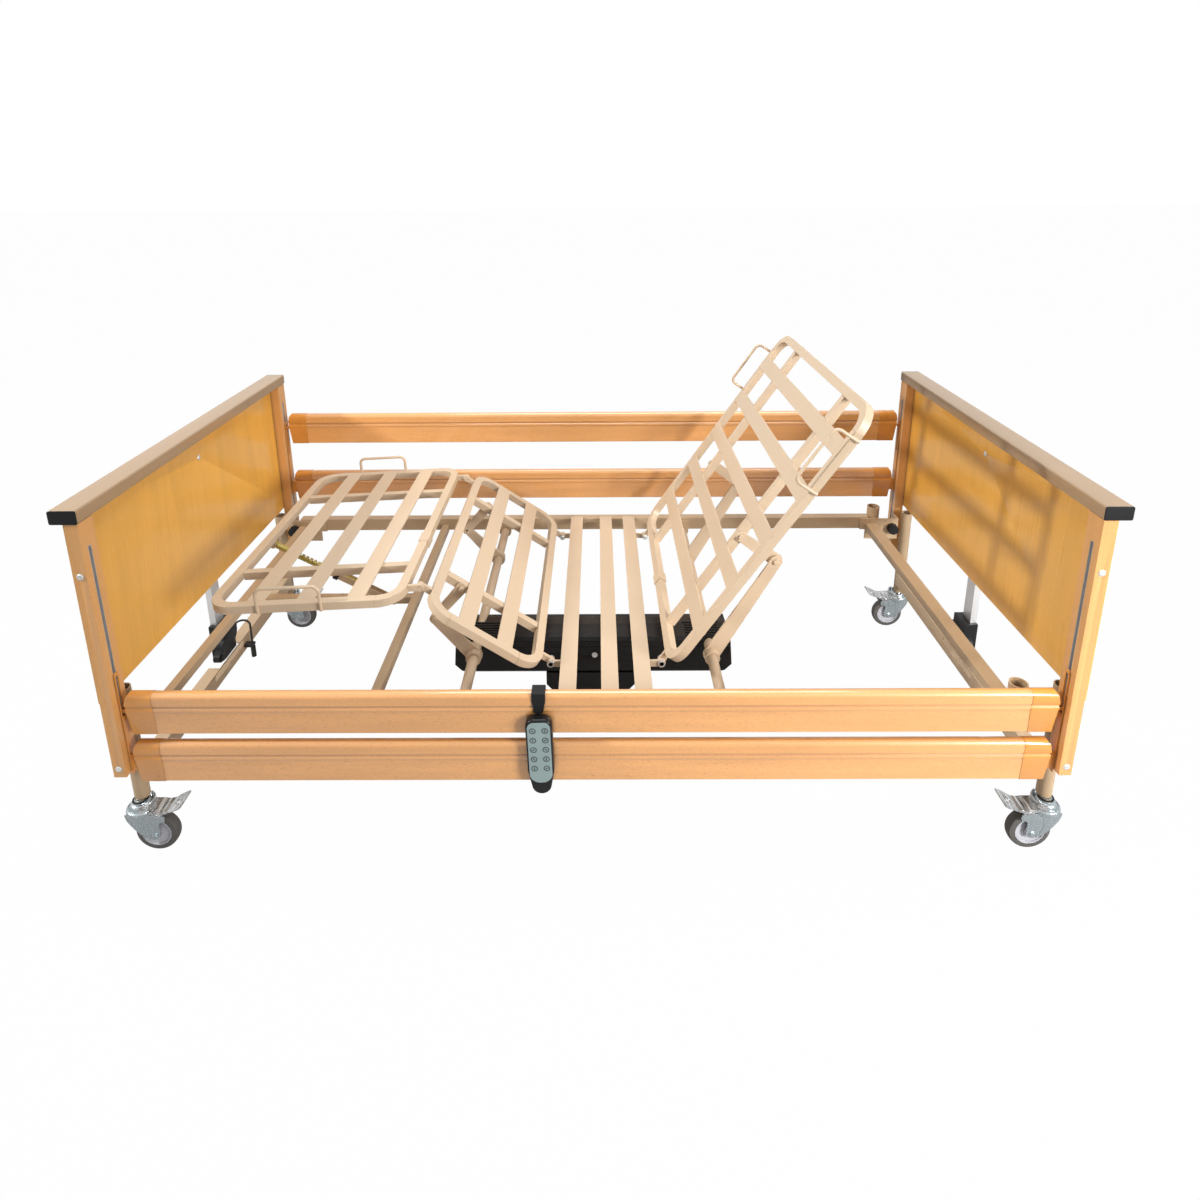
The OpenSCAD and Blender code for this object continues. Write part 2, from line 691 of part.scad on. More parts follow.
module fork() {
    // swivel cup and neck
    translate([0, 0, crown_z]) cylinder(d = cup_d, h = 9);
    translate([0, 0, crown_z + 9]) cylinder(d1 = cup_d, d2 = cup_d - 8, h = cup_top - crown_z - 9);
    translate([0, 0, cup_top]) cylinder(d = 27, h = leg_z - 1 - cup_top - 0.2);
    // cheeks
    for (s = [-1, 1]) translate([0, s * (cheek_y + cheek_t / 2), 0]) rotate([90, 0, 0])
        linear_extrude(cheek_t, center = true) difference() {
            polygon([[26, crown_z + 1], [30, crown_z - 10], [-trail + 22, axle_z - 12], [-trail - 12, axle_z - 11],
                [-trail - 13, axle_z + 6], [-trail + 4, crown_z - 22], [-trail - 26, crown_z - 14],
                [-trail - 30, crown_z - 6], [-trail - 24, crown_z + 1]]);
            translate([-trail, axle_z]) circle(d = 9);
        }
    // axle with its two heads
    translate([-trail, 0, axle_z]) {
        rod_y(8.6, -cheek_y - cheek_t, cheek_y + cheek_t);
        rod_y(15, -cheek_y - cheek_t - 4, -cheek_y - cheek_t);
        rod_y(15, cheek_y + cheek_t, cheek_y + cheek_t + 4);
    }
    // deck over the wheel
    translate([-trail - 22, -cheek_y - cheek_t, crown_z - 1]) cube([60, 2 * cheek_y + 2 * cheek_t, 3]);
}

module tyre() translate([-trail, 0, axle_z]) rotate([90, 0, 0]) rotate_extrude()
    polygon([[36.2, -wheel_w / 2 + 1], [46, -wheel_w / 2 + 1], [49, -wheel_w / 2 + 5],
        [wheel_d / 2, 0], [49, wheel_w / 2 - 5], [46, wheel_w / 2 - 1], [36.2, wheel_w / 2 - 1]]);

module hub() translate([-trail, 0, axle_z]) rotate([90, 0, 0]) rotate_extrude()
    polygon([[4.4, -wheel_w / 2 - 1], [13, -wheel_w / 2 - 1], [13, -wheel_w / 2 + 4], [32, -wheel_w / 2 + 4],
        [34, -wheel_w / 2], [36, -wheel_w / 2], [36, wheel_w / 2], [34, wheel_w / 2],
        [32, wheel_w / 2 - 4], [13, wheel_w / 2 - 4], [13, wheel_w / 2 + 1], [4.4, wheel_w / 2 + 1]]);

module pedal() {
    z = crown_z + 12;
    // tread plate with raised ribs and a flared tip
    difference() {
        translate([-pedal_len + 26, -21, z - 3]) cube([pedal_len - 26 - 36, 42, 5]);
        for (k = [0:2]) translate([-52 - 13 * k, -14, z + 0.6]) cube([6, 28, 4]);
    }
    translate([-pedal_len + 26.05, 0, z - 3]) rotate([90, 0, 0]) linear_extrude(56, center = true)
        polygon([[0, 0], [0, 5], [-17, 21], [-21, 20], [-20, 16]]);
    // side ears down to the pedal pivot
    ear = cheek_y + cheek_t + run_gap + 1.5;
    for (s = [-1, 1]) translate([-trail - 12, s * ear, crown_z + 4]) rod_y(12, -1.5, 1.5);
}

module castor_fork_nl() color("LightSteelBlue") at_castor(-1, -1) fork();

module castor_tyre_nl() color("DimGray") at_castor(-1, -1) tyre();

module castor_hub_nl() color("Silver") at_castor(-1, -1) hub();

module castor_pedal_nl() color("Gainsboro") at_castor(-1, -1) pedal();

module castor_fork_nr() color("LightSteelBlue") at_castor(1, -1) fork();

module castor_tyre_nr() color("DimGray") at_castor(1, -1) tyre();

module castor_hub_nr() color("Silver") at_castor(1, -1) hub();

module castor_pedal_nr() color("Gainsboro") at_castor(1, -1) pedal();

module castor_fork_fl() color("LightSteelBlue") at_castor(-1, 1) fork();

module castor_tyre_fl() color("DimGray") at_castor(-1, 1) tyre();

module castor_hub_fl() color("Silver") at_castor(-1, 1) hub();

module castor_pedal_fl() color("Gainsboro") at_castor(-1, 1) pedal();

module castor_fork_fr() color("LightSteelBlue") at_castor(1, 1) fork();

module castor_tyre_fr() color("DimGray") at_castor(1, 1) tyre();

module castor_hub_fr() color("Silver") at_castor(1, 1) hub();

module castor_pedal_fr() color("Gainsboro") at_castor(1, 1) pedal();

// ---------- side rails ----------

module rail_profile(grow = 0) {
    t = rail_t / 2 + grow;
    h = rail_h;
    // bullnose top, groove line, small moulding and a slightly thinner flat lower part
    translate([0, h - rail_t / 2]) circle(r = t);
    for (s = [-1, 1]) scale([s, 1]) polygon([[-1, h - rail_t / 2], [t, h - rail_t / 2], [t, h - 29],
        [t - 3.6, h - 32.5], [t - 3.6, h - 34], [t - 0.6, h - 37], [t - 0.4, h - 42], [t - 2.6, h - 47],
        [t - 2.6, 2 - grow], [t - 4.6, -grow], [-1, -grow]]);
}

module rail(z) {
    translate([-rail_half + cap_len, -rail_y, z]) rotate([90, 0, 90])
        linear_extrude(2 * (rail_half - cap_len)) rail_profile();
}

module rail_cap(z) {
    difference() {
        translate([rail_half - cap_len - 4, -rail_y, z]) rotate([90, 0, 90])
            linear_extrude(cap_len + 4) rail_profile(0.8);
        translate([rail_half - cap_len - 5, -rail_y, z]) rotate([90, 0, 90])
            linear_extrude(5 + e) rail_profile(0.1);
        // outer end rounded off at the top and drawn in at the foot
        translate([rail_half, -rail_y + 50, z + rail_h + 1]) rotate([90, 0, 0]) linear_extrude(100)
            polygon([[1, 2], [-12, 2], [-4, -9], [1, -30]]);
        translate([rail_half, -rail_y + 50, z - 1]) rotate([90, 0, 0]) linear_extrude(100)
            polygon([[1, -2], [-8, -2], [-5, 20], [1, 66]]);
    }
}

module upper_caps(z) ends() {
    rail_cap(z);
    translate([0, -rail_y, z + 52]) rod_x(pin_d, rail_half - 1, post_in + slot_deep - 3);
}

module lower_caps(z) ends() {
    top = z + rail_high_pitch + strip_over;
    rail_cap(z);
    translate([rail_half - 2, -rail_y - 5, z + 24]) cube([strip_x - rail_half + 2 + e, 10, 40]);
    difference() {
        union() {
            translate([strip_x, -rail_y - strip_w / 2, z + 16]) cube([strip_t, strip_w, top - z - 16]);
            translate([0, -rail_y, top]) rod_x(strip_w, strip_x, strip_x + strip_t);
        }
        translate([strip_x - 1, -rail_y - slot_w / 2, z + rail_low_pitch + 40])
            cube([strip_t + 2, slot_w, rail_high_pitch - rail_low_pitch + 24]);
    }
    translate([strip_x + strip_t - e, -rail_y - pin_d / 2, z + 42])
        cube([slot_deep - 4, pin_d, 50]);
}

near_up_z = rail_low_top - rail_h;
near_lo_z = near_up_z - rail_low_pitch;
far_up_z = near_up_z + rail_lift;
far_lo_z = far_up_z - rail_high_pitch;

module near_upper_rail() color("SandyBrown") at_bed() rail(near_up_z);

module near_upper_caps() color("Peru") at_bed() upper_caps(near_up_z);

module near_lower_rail() color("SandyBrown") at_bed() rail(near_lo_z);

module near_lower_caps() color("Peru") at_bed() lower_caps(near_lo_z);

module far_upper_rail() color("SandyBrown") at_bed() scale([1, -1, 1]) rail(far_up_z);

module far_upper_caps() color("Peru") at_bed() scale([1, -1, 1]) upper_caps(far_up_z);

module far_lower_rail() color("SandyBrown") at_bed() scale([1, -1, 1]) rail(far_lo_z);

module far_lower_caps() color("Peru") at_bed() scale([1, -1, 1]) lower_caps(far_lo_z);

// ---------- moving deck ----------

module at_back() { at_bed() translate([back_x, 0, hinge_z]) rotate([0, -back_angle, 0]) children(); }

module at_thigh() { at_bed() translate([thigh_x, 0, hinge_z]) rotate([0, thigh_angle, 0]) scale([-1, 1, 1]) children(); }

module at_calf() { at_bed() translate([knee_x, 0, knee_z]) rotate([0, -calf_fall, 0]) scale([-1, 1, 1]) children(); }

module back_frame() color("BurlyWood") at_back() {
    loop(28, back_len);
    long_bars(28, back_len);
    sleeve(28 + tube_w / 2, 0);
    for (k = [0:4]) slat(back_slat_first + back_slat_pitch * k);
    ears(0, 28 - e, ear_side);
    for (s = [-1, 1]) grip(back_grip_u, s);
    // lever bolts on the long bars
    for (s = [-1, 1]) translate([back_bolt_u, s * bar_y, bolt_n]) {
        rod_y(8, s > 0 ? bar_sq / 2 + e : -bar_sq / 2 - 7, s > 0 ? bar_sq / 2 + 7 : -bar_sq / 2 - e);
        rod_y(13, s > 0 ? bar_sq / 2 + 7 : -bar_sq / 2 - 12, s > 0 ? bar_sq / 2 + 12 : -bar_sq / 2 - 7);
    }
}

module thigh_frame() color("BurlyWood") at_thigh() {
    loop(28, thigh_len - 28);
    long_bars(28, thigh_len - 28);
    for (k = [0:1]) slat(thigh_slat_first + thigh_slat_pitch * k);
    ears(0, 28 - e, ear_side);
    // knee ears with their bolts
    translate([thigh_len, 0, 0]) scale([-1, 1, 1]) ears(0, 28 - e, ear_side);
    for (s = [-1, 1]) translate([thigh_len, s * lug_y, 0]) {
        rod_y(hinge_d - 0.2, s > 0 ? -8 - lug_t : -4, s > 0 ? 4 : 8 + lug_t);
    }
    for (s = [-1, 1]) translate([thigh_bolt_u, s * bar_y, bolt_n]) {
        rod_y(8, s > 0 ? bar_sq / 2 + e : -bar_sq / 2 - 7, s > 0 ? bar_sq / 2 + 7 : -bar_sq / 2 - e);
        rod_y(13, s > 0 ? bar_sq / 2 + 7 : -bar_sq / 2 - 12, s > 0 ? bar_sq / 2 + 12 : -bar_sq / 2 - 7);
    }
}

module calf_frame() color("BurlyWood") at_calf() {
    loop(28, calf_len);
    long_bars(28, calf_len);
    sleeve(28 + tube_w / 2, -90);
    for (k = [0:2]) slat(calf_slat_first + calf_slat_pitch * k);
    ears(0, 28 - e, 0);
    for (s = [-1, 1]) grip(calf_grip_u, s);
    // ears for the stay, under the foot-end tube
    for (s = [-1, 1]) translate([stay_u, stay_y + s * (stay_w / 2 + 3), stay_n]) difference() {
        union() {
            rod_y(14, -2, 2);
            translate([-7, -2, 0]) cube([14, 4, -stay_n - tube_h / 2 - e]);
        }
        rod_y(8, -3, 3);
    }
    translate([stay_u, stay_y, stay_n]) {
        rod_y(7.8, -stay_w / 2 - 8, stay_w / 2 + 5);
    }
}

// ---------- levers and links ----------

module torsion(x) { translate([x, 0, torsion_z]) difference() {
        rod_y(torsion_d, 2 - beam_in, beam_in - 2);
        rod_y(torsion_d - 6, -beam_in, beam_in);
    } }

module collar(x, y) { translate([x, y, torsion_z]) difference() {
        rod_y(torsion_d + 12, -9, 9);
        rod_y(torsion_d + 0.2, -10, 10);
    } }

module back_crank() color("BurlyWood") at_bed() {
    torsion(t1_x);
    for (s = [-1, 1]) {
        collar(t1_x, s * (lever_mid + lever_t / 2 + 9 + e));
        translate([t1_x, s * lever_mid, torsion_z]) rotate([0, -back_lever_a, 0])
            eye_bar(back_lever, 42, 30, lever_t, torsion_d + 0.2, 8);
        translate([back_p_x, s * lever_mid, back_p_z])
            rod_y(14, s > 0 ? lever_t / 2 + e : -lever_t / 2 - 6, s > 0 ? lever_t / 2 + 6 : -lever_t / 2 - e);
    }
}

module back_links() color("BurlyWood") at_bed() {
    for (s = [-1, 1]) translate([back_bolt_x, s * link_mid, back_bolt_z])
        rotate([0, -back_link_a, 0]) eye_bar(back_link, 26, 34, link_t, 8.6, 8);
}

module thigh_crank() color("BurlyWood") at_bed() {
    torsion(t2_x);
    for (s = [-1, 1]) {
        collar(t2_x, s * (lever_mid + lever_t / 2 + 9 + e));
        translate([t2_x, s * lever_mid, torsion_z]) rotate([0, -thigh_lever_a, 0])
            eye_bar(thigh_lever, 42, 26, lever_t, torsion_d + 0.2, 8);
        translate([thigh_p_x, s * lever_mid, thigh_p_z])
            rod_y(13, s > 0 ? lever_t / 2 + e : -lever_t / 2 - 6, s > 0 ? lever_t / 2 + 6 : -lever_t / 2 - e);
    }
}

module thigh_links() color("BurlyWood") at_bed() {
    for (s = [-1, 1]) translate([thigh_bolt_x, s * link_mid, thigh_bolt_z])
        rotate([0, -thigh_link_a, 0]) eye_bar(thigh_link, 30, 24, link_t, 8.6, 8);
}

// ---------- calf stay ----------

module at_stay() { at_bed() translate([stay_lo_x, stay_y, stay_lo_z]) rotate([0, stay_a, 0]) scale([-1, 1, 1]) children(); }

// channel that pivots on the middle tube
module stay_outer() color("#9C9440") at_stay() difference() {
    union() {
        translate([-9, -stay_w / 2, -9]) cube([stay_l * 0.52, stay_w, 18]);
    }
    translate([-10, -stay_w / 2 + 2, -7]) cube([stay_l, stay_w - 4, 20]);
    rod_y(8.6, -stay_w, stay_w);
}

// toothed bar that slides in the channel and pivots under the calf section
module stay_inner() color("#A8A04A") at_stay() difference() {
    union() {
        translate([stay_l * 0.22, -stay_w / 2 + 2.6, -6]) cube([stay_l * 0.78 - 6, stay_w - 5.2, 11]);
        translate([stay_l, 0, 0]) rod_y(18, -stay_w / 2 + 2.6, stay_w / 2 - 2.6);
        translate([stay_l, -stay_w / 2 + 2.6, -9]) cube([4, stay_w - 5.2, 18]);
        translate([stay_l + 4, 0, 0]) rod_y(18, -stay_w / 2 + 2.6, stay_w / 2 - 2.6);
    }
    for (k = [0:7]) translate([stay_l * 0.56 + 12 * k, -stay_w, 2]) rotate([0, 45, 0]) cube([6, 2 * stay_w, 6]);
    for (q = [0, 4]) translate([stay_l + q, 0, 0]) rod_y(12, -stay_w, stay_w);
    translate([stay_l, -stay_w, -6]) cube([4, 2 * stay_w, 12]);
}

module stay_clip() color("#1A1A1A") at_stay() difference() {
    translate([stay_l * 0.44, -stay_w / 2 - 3, -12]) cube([14, stay_w + 6, 26]);
    translate([stay_l * 0.4, -stay_w / 2 - 0.2, -9.2]) cube([40, stay_w + 0.4, 19]);
}

// ---------- handset ----------

// local origin: middle of the handset's thickness, level with the rail top, tilted as it hangs
module at_handset() {
    at_bed() translate([handset_x, -handset_y, rail_low_top]) children();
}

module tilted() { translate([0, 0, -hang]) rotate([0, -handset_tilt, 0]) children(); }

module case_outline(inset = 0) {
    w = handset_w / 2 - inset;
    l = handset_l - 2 * inset;
    translate([0, -inset]) hull() {
        for (s = [-1, 1]) {
            translate([s * (w - 20 + inset), -20 + inset]) circle(r = 20 - inset, $fn = 32);
            translate([s * (w - 24 + inset), 62 - l]) circle(r = 24 - inset, $fn = 32);
        }
        translate([0, 22 - l]) circle(r = 22 - inset, $fn = 32);
    }
}

module face_outline(inset = 0) {
    w = handset_w / 2 - 2.5 - inset;
    hull() for (s = [-1, 1]) {
        translate([s * (w - 15), -27]) circle(r = 15, $fn = 32);
        translate([s * (w - 24), 51 - face_low]) circle(r = 24, $fn = 32);
    }
}

module handset_case() color("#161616") at_handset() tilted() difference() {
    translate([0, handset_t / 2, 0]) rotate([90, 0, 0]) linear_extrude(handset_t) case_outline();
    translate([0, 1.2 - handset_t / 2, 0]) rotate([90, 0, 0]) linear_extrude(3) face_outline();
}

module handset_keys() color("#8FA6A0") at_handset() tilted() {
    translate([0, 1.1 - handset_t / 2, 0]) rotate([90, 0, 0]) linear_extrude(1.1) face_outline(0.2);
    for (i = [-1, 1]) for (k = [0:4])
        translate([i * key_pitch_x / 2, 0.05 - handset_t / 2, -34 - key_pitch_z * k]) rod_y(key_d, -0.95, 0);
}

module handset_hook() color("#181818") at_handset() {
    lead = -rail_t / 2 - run_gap - 3 + (handset_y - rail_y);
    back = handset_y - rail_y + rail_t / 2 + run_gap;
    // band over the rail, narrowing towards the case, with a short neck
    translate([0, lead + 3, 0]) rotate([90, 0, 0]) linear_extrude(3) polygon([[-15, 3 + run_gap],
        [-15, -18], [-10, 4 - hang], [-5, -hang - 5 * tan(handset_tilt)], [5, -hang + 5 * tan(handset_tilt)],
        [10, 4 - hang], [15, -18],
        [15, 3 + run_gap]]);
    translate([-15, lead + 2.9, run_gap]) cube([30, back - lead - 2.8, 3]);
    translate([-15, back, run_gap - 30]) cube([30, 3, 33]);
}

// ---------- draw ----------

main_frame();
seat_deck();
corner_plates();
hand_screws();
pole_sockets();
head_board();
foot_board();
posts();
cap_rails();
cap_plugs();
slot_channels();
fasteners();
motor_case();
motor_plug();
actuator_rods();
head_base();
head_actuator();
head_column();
foot_base();
foot_actuator();
foot_column();
foot_cable();
castor_fork_nl();
castor_tyre_nl();
castor_hub_nl();
castor_pedal_nl();
castor_fork_nr();
castor_tyre_nr();
castor_hub_nr();
castor_pedal_nr();
castor_fork_fl();
castor_tyre_fl();
castor_hub_fl();
castor_pedal_fl();
castor_fork_fr();
castor_tyre_fr();
castor_hub_fr();
castor_pedal_fr();
near_upper_rail();
near_upper_caps();
near_lower_rail();
near_lower_caps();
far_upper_rail();
far_upper_caps();
far_lower_rail();
far_lower_caps();
back_frame();
thigh_frame();
calf_frame();
back_crank();
back_links();
thigh_crank();
thigh_links();
stay_outer();
stay_inner();
stay_clip();
handset_case();
handset_keys();
handset_hook();
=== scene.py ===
"""Adjustable hospital bed: finishes, fine shapes and a studio round the fixed frame."""

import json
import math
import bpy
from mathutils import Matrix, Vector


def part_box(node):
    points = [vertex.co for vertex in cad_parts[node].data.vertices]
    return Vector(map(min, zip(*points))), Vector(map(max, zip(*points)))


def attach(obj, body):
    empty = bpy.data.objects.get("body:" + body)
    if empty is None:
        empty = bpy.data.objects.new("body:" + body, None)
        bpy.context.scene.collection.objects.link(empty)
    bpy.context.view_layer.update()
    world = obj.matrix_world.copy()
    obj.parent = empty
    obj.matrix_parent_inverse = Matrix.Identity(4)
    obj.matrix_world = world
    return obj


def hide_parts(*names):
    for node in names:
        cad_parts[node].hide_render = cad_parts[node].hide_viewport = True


bl_info = {
    "name": "Adjustable Hospital Bed",
    "version": (1, 0, 0),
    "blender": (4, 5, 0),
    "location": "View3D > Sidebar > Bed",
    "description": "Finishes a profiling bed with wooden ends, side rails and braked castors",
    "category": "Object",
}

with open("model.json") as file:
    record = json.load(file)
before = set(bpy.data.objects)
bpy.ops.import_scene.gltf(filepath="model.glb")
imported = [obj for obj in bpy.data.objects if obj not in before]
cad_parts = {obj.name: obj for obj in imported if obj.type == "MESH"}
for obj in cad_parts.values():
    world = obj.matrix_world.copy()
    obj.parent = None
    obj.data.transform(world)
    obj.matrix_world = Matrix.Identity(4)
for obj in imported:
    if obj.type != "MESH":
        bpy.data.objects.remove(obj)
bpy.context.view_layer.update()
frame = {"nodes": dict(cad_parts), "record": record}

import bmesh
import bpy
from mathutils import Matrix, Vector

NODES = frame["nodes"]
CORNERS = ("nl", "nr", "fl", "fr")
MM = 0.001


def middle(node):
    """Middle of a node's box."""
    low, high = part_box(node)
    return (Vector(low) + Vector(high)) / 2


def extent(node):
    """Size of a node's box."""
    low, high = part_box(node)
    return Vector(high) - Vector(low)


# ---------- sizes and colours ----------


def size(label, text, default, low=0.0, high=1.0):
    """A length that can be set, in metres."""
    return bpy.props.FloatProperty(
        name=label, description=text, default=default, min=low, max=high, unit="LENGTH", precision=5
    )


def colour(label, text, default):
    """A colour that can be set."""
    return bpy.props.FloatVectorProperty(
        name=label, description=text, default=default, min=0.0, max=1.0, size=3, subtype="COLOR"
    )


class BedSizes(bpy.types.PropertyGroup):
    """Edge radii and small sizes that the frame leaves open."""

    tube_edge: size("Tube Edge", "Radius of the long edges of the rectangular tubes", 0.0025)
    plate_edge: size("Plate Edge", "Edge radius of stamped plates and levers", 0.0008)
    wood_edge: size("Wood Edge", "Edge radius of boards and posts", 0.0025)
    moulded_edge: size("Moulded Edge", "Edge radius of plastic housings", 0.002)
    floor_size: size("Floor", "Side of the studio floor", 60.0, 1.0, 200.0)


class BedFinishes(bpy.types.PropertyGroup):
    """Colours of the bed, as linear values."""

    frame_coat: colour("Frame Coat", "Powder coat of the main frame and bases", (0.49, 0.345, 0.205))
    deck_coat: colour("Deck Coat", "Powder coat of the lying surface", (0.60, 0.455, 0.31))
    beech: colour("Beech", "Solid beech of the posts", (0.72, 0.36, 0.12))
    rail_wood: colour("Rail Wood", "Beech of the side rails", (0.77, 0.37, 0.125))
    board: colour("Board", "Faced board of the bed ends", (0.84, 0.43, 0.072))
    cap_rail: colour("Cap Rail", "Top rails of the bed ends", (0.38, 0.245, 0.13))
    rail_cap: colour("Rail Cap", "Moulded ends of the side rails", (0.70, 0.29, 0.055))
    housing: colour("Housing", "Drive housing", (0.0075, 0.0065, 0.006))
    keypad: colour("Keypad", "Face of the hand control", (0.255, 0.335, 0.33))
    zinc: colour("Zinc", "Zinc plated castor parts", (0.42, 0.47, 0.49))


# ---------- material building ----------


class Finish:
    """Builds one procedural material on Object coordinates."""

    def __init__(self, name, **shader):
        self.material = bpy.data.materials.new(name)
        self.material.use_nodes = True
        self.tree = self.material.node_tree
        self.shader = next(n for n in self.tree.nodes if n.type == "BSDF_PRINCIPLED")
        for socket, value in shader.items():
            self.shader.inputs[socket.replace("_", " ")].default_value = value
        self.place = self.add("ShaderNodeTexCoord").outputs["Object"]

    def add(self, kind, inputs=None, **settings):
        """Adds a node, with its settings and its inputs, which are values or sockets."""
        node = self.tree.nodes.new(kind)
        for key, value in settings.items():
            setattr(node, key, value)
        for key, value in (inputs or {}).items():
            if isinstance(value, bpy.types.NodeSocket):
                self.tree.links.new(value, node.inputs[key])
            else:
                node.inputs[key].default_value = value
        return node

    def stretched(self, along, lengthwise, across):
        """Object coordinates scaled by one factor along an axis and by another across it."""
        scale = tuple(lengthwise if i == along else across for i in range(3))
        return self.add("ShaderNodeMapping", {"Vector": self.place, "Scale": scale}).outputs["Vector"]

    def noise(self, scale, detail=3.0, roughness=0.5, distortion=0.0, vector=None):
        """Noise from 0 to 1."""
        return self.add("ShaderNodeTexNoise", {
            "Vector": vector or self.place, "Scale": scale, "Detail": detail,
            "Roughness": roughness, "Distortion": distortion,
        }).outputs["Fac"]

    def ranged(self, value, low, high, to_low, to_high):
        """A value mapped from one range to another, and held inside it."""
        return self.add("ShaderNodeMapRange", {
            "Value": value, "From Min": low, "From Max": high, "To Min": to_low, "To Max": to_high,
        }).outputs["Result"]

    def mixed(self, factor, first, second, blend="MIX"):
        """Two colours mixed by a factor."""
        return self.add("ShaderNodeMix", {0: factor, 6: rgba(first), 7: rgba(second)},
                        data_type="RGBA", blend_type=blend).outputs[2]

    def maths(self, operation, first, second):
        """One sum on two values."""
        return self.add("ShaderNodeMath", {0: first, 1: second}, operation=operation).outputs[0]

    def painted_crevice_shade(self, tone, depth=0.012, dark=0.42):
        """The tone with painted shade: darkened by ambient occlusion where surfaces meet and in grooves."""
        open_air = self.add("ShaderNodeAmbientOcclusion", {"Distance": depth}, samples=6).outputs["AO"]
        shadow = self.mixed(1.0, tone, (dark, dark, dark), "MULTIPLY")
        return self.mixed(self.ranged(open_air, 0.35, 0.9, 0.0, 1.0), shadow, tone)

    def cover(self, base, roughness, height, strength, distance, soft=0.0):
        """Links colour, roughness and relief to the shader."""
        inputs = {"Height": height, "Strength": strength, "Distance": distance}
        if soft:
            inputs["Normal"] = self.add("ShaderNodeBevel", {"Radius": soft}, samples=4).outputs["Normal"]
        normal = self.add("ShaderNodeBump", inputs).outputs["Normal"]
        for socket, value in (("Base Color", base), ("Roughness", roughness), ("Normal", normal)):
            self.tree.links.new(value, self.shader.inputs[socket])
        return self.material


def rgba(value):
    """A colour with its alpha, or the socket as it is."""
    if isinstance(value, bpy.types.NodeSocket):
        return value
    return (*value[:3], 1.0)


def shade(value, factor):
    """A colour made lighter or darker."""
    return tuple(min(1.0, channel * factor) for channel in value[:3])


def powder_coat(name, base):
    """Satin powder coat: fine orange peel, slight cloudiness and a few dull marks."""
    f = Finish(name, Coat_Weight=0.12, Coat_Roughness=0.3)
    clouds = f.noise(5.0, 4.0, 0.6)
    marks = f.ranged(f.noise(85.0, 5.0, 0.65), 0.62, 0.72, 0.0, 0.35)
    tone = f.mixed(clouds, shade(base, 0.93), shade(base, 1.06))
    tone = f.mixed(marks, tone, shade(base, 0.82))
    return f.cover(tone, f.ranged(clouds, 0.3, 0.7, 0.36, 0.5), f.noise(900.0, 2.0), 0.08, 0.0001)


def wood(name, base, along, pore=0.5, spread=0.12, gloss=0.34, broad=1.0, soft=0.0005, coat=0.4):
    """Lacquered wood with its grain along one axis: broad figure, fine streaks and short pores, with painted
    shade in grooves and where parts meet.
    """
    f = Finish(name, Coat_Weight=coat, Coat_Roughness=0.13, Coat_IOR=1.7)
    figure = f.noise(1.0, 5.0, 0.55, 1.4, f.stretched(along, 1.1 * broad, 11.0 * broad))
    streaks = f.noise(1.0, 6.0, 0.7, 0.2, f.stretched(along, 5.0, 260.0))
    pores = f.ranged(f.noise(1.0, 2.0, 0.5, 0.0, f.stretched(along, 150.0, 1300.0)), 0.6, 0.68, 0.0, pore)
    tone = f.mixed(f.ranged(figure, 0.3, 0.7, 0.0, 1.0), shade(base, 1.0 - spread), shade(base, 1.0 + spread))
    tone = f.mixed(f.ranged(streaks, 0.35, 0.65, 0.0, 1.0), f.mixed(0.75, shade(base, 0.72), tone), tone)
    # painted shade: the grained tone is darkened in grooves and where parts meet
    tone = f.painted_crevice_shade(f.mixed(pores, tone, shade(base, 0.5)))
    rough = f.ranged(streaks, 0.3, 0.7, gloss - 0.05, gloss + 0.08)
    return f.cover(tone, rough, f.maths("SUBTRACT", streaks, pores), 0.1, 0.0003, soft)


def moulded(name, base, roughness=0.42, grain=900.0, relief=0.1, soft=0.0012, **shader):
    """Moulded plastic or rubber with a fine surface grain and handling marks, with painted shade in creases
    and where parts meet.
    """
    f = Finish(name, **shader)
    clouds = f.noise(14.0, 4.0, 0.6)
    # painted shade: the clouded tone is darkened in creases and where parts meet
    tone = f.painted_crevice_shade(f.mixed(clouds, shade(base, 0.86), shade(base, 1.12)), 0.008, 0.5)
    rough = f.ranged(clouds, 0.3, 0.7, roughness - 0.05, roughness + 0.07)
    return f.cover(tone, rough, f.noise(grain, 3.0), relief, 0.0002, soft)


def plated(name, base, roughness, streaks, along=0):
    """Plated steel: smeared light and dark streaks, fine crystal patches and light scratches."""
    f = Finish(name, Metallic=0.8)
    lines = f.noise(1.0, 4.0, 0.6, 0.6, f.stretched(along, 22.0, 150.0))
    patch = f.add("ShaderNodeTexVoronoi", {"Vector": f.place, "Scale": 520.0}, feature="SMOOTH_F1")
    grey = f.add("ShaderNodeSeparateColor", {"Color": patch.outputs["Color"]}).outputs["Red"]
    scratch = f.noise(1.0, 3.0, 0.6, 0.0, f.stretched(0, 60.0, 700.0))
    dark, light = shade(base, 1.0 - streaks), shade(base, 1.0 + streaks * 0.8)
    tone = f.mixed(f.ranged(lines, 0.36, 0.64, 0.0, 1.0), dark, light)
    tone = f.mixed(f.maths("MULTIPLY", grey, 0.25), tone, shade(base, 1.12))
    rough = f.ranged(f.maths("ADD", lines, scratch), 0.7, 1.3, roughness - 0.07, roughness + 0.1)
    return f.cover(tone, rough, f.maths("ADD", scratch, lines), 0.12, 0.0003)


def passivated(name):
    """Yellow passivated zinc, whose tint drifts between straw, olive and rose."""
    f = Finish(name, Metallic=0.75)
    drift = f.noise(26.0, 3.0, 0.55, 0.8)
    tone = f.mixed(f.ranged(drift, 0.35, 0.55, 0.0, 1.0), (0.42, 0.38, 0.10), (0.52, 0.42, 0.12))
    tone = f.mixed(f.ranged(drift, 0.55, 0.72, 0.0, 0.7), tone, (0.45, 0.26, 0.16))
    return f.cover(tone, f.ranged(drift, 0.3, 0.7, 0.28, 0.42), f.noise(800.0), 0.08, 0.0002, 0.0006)


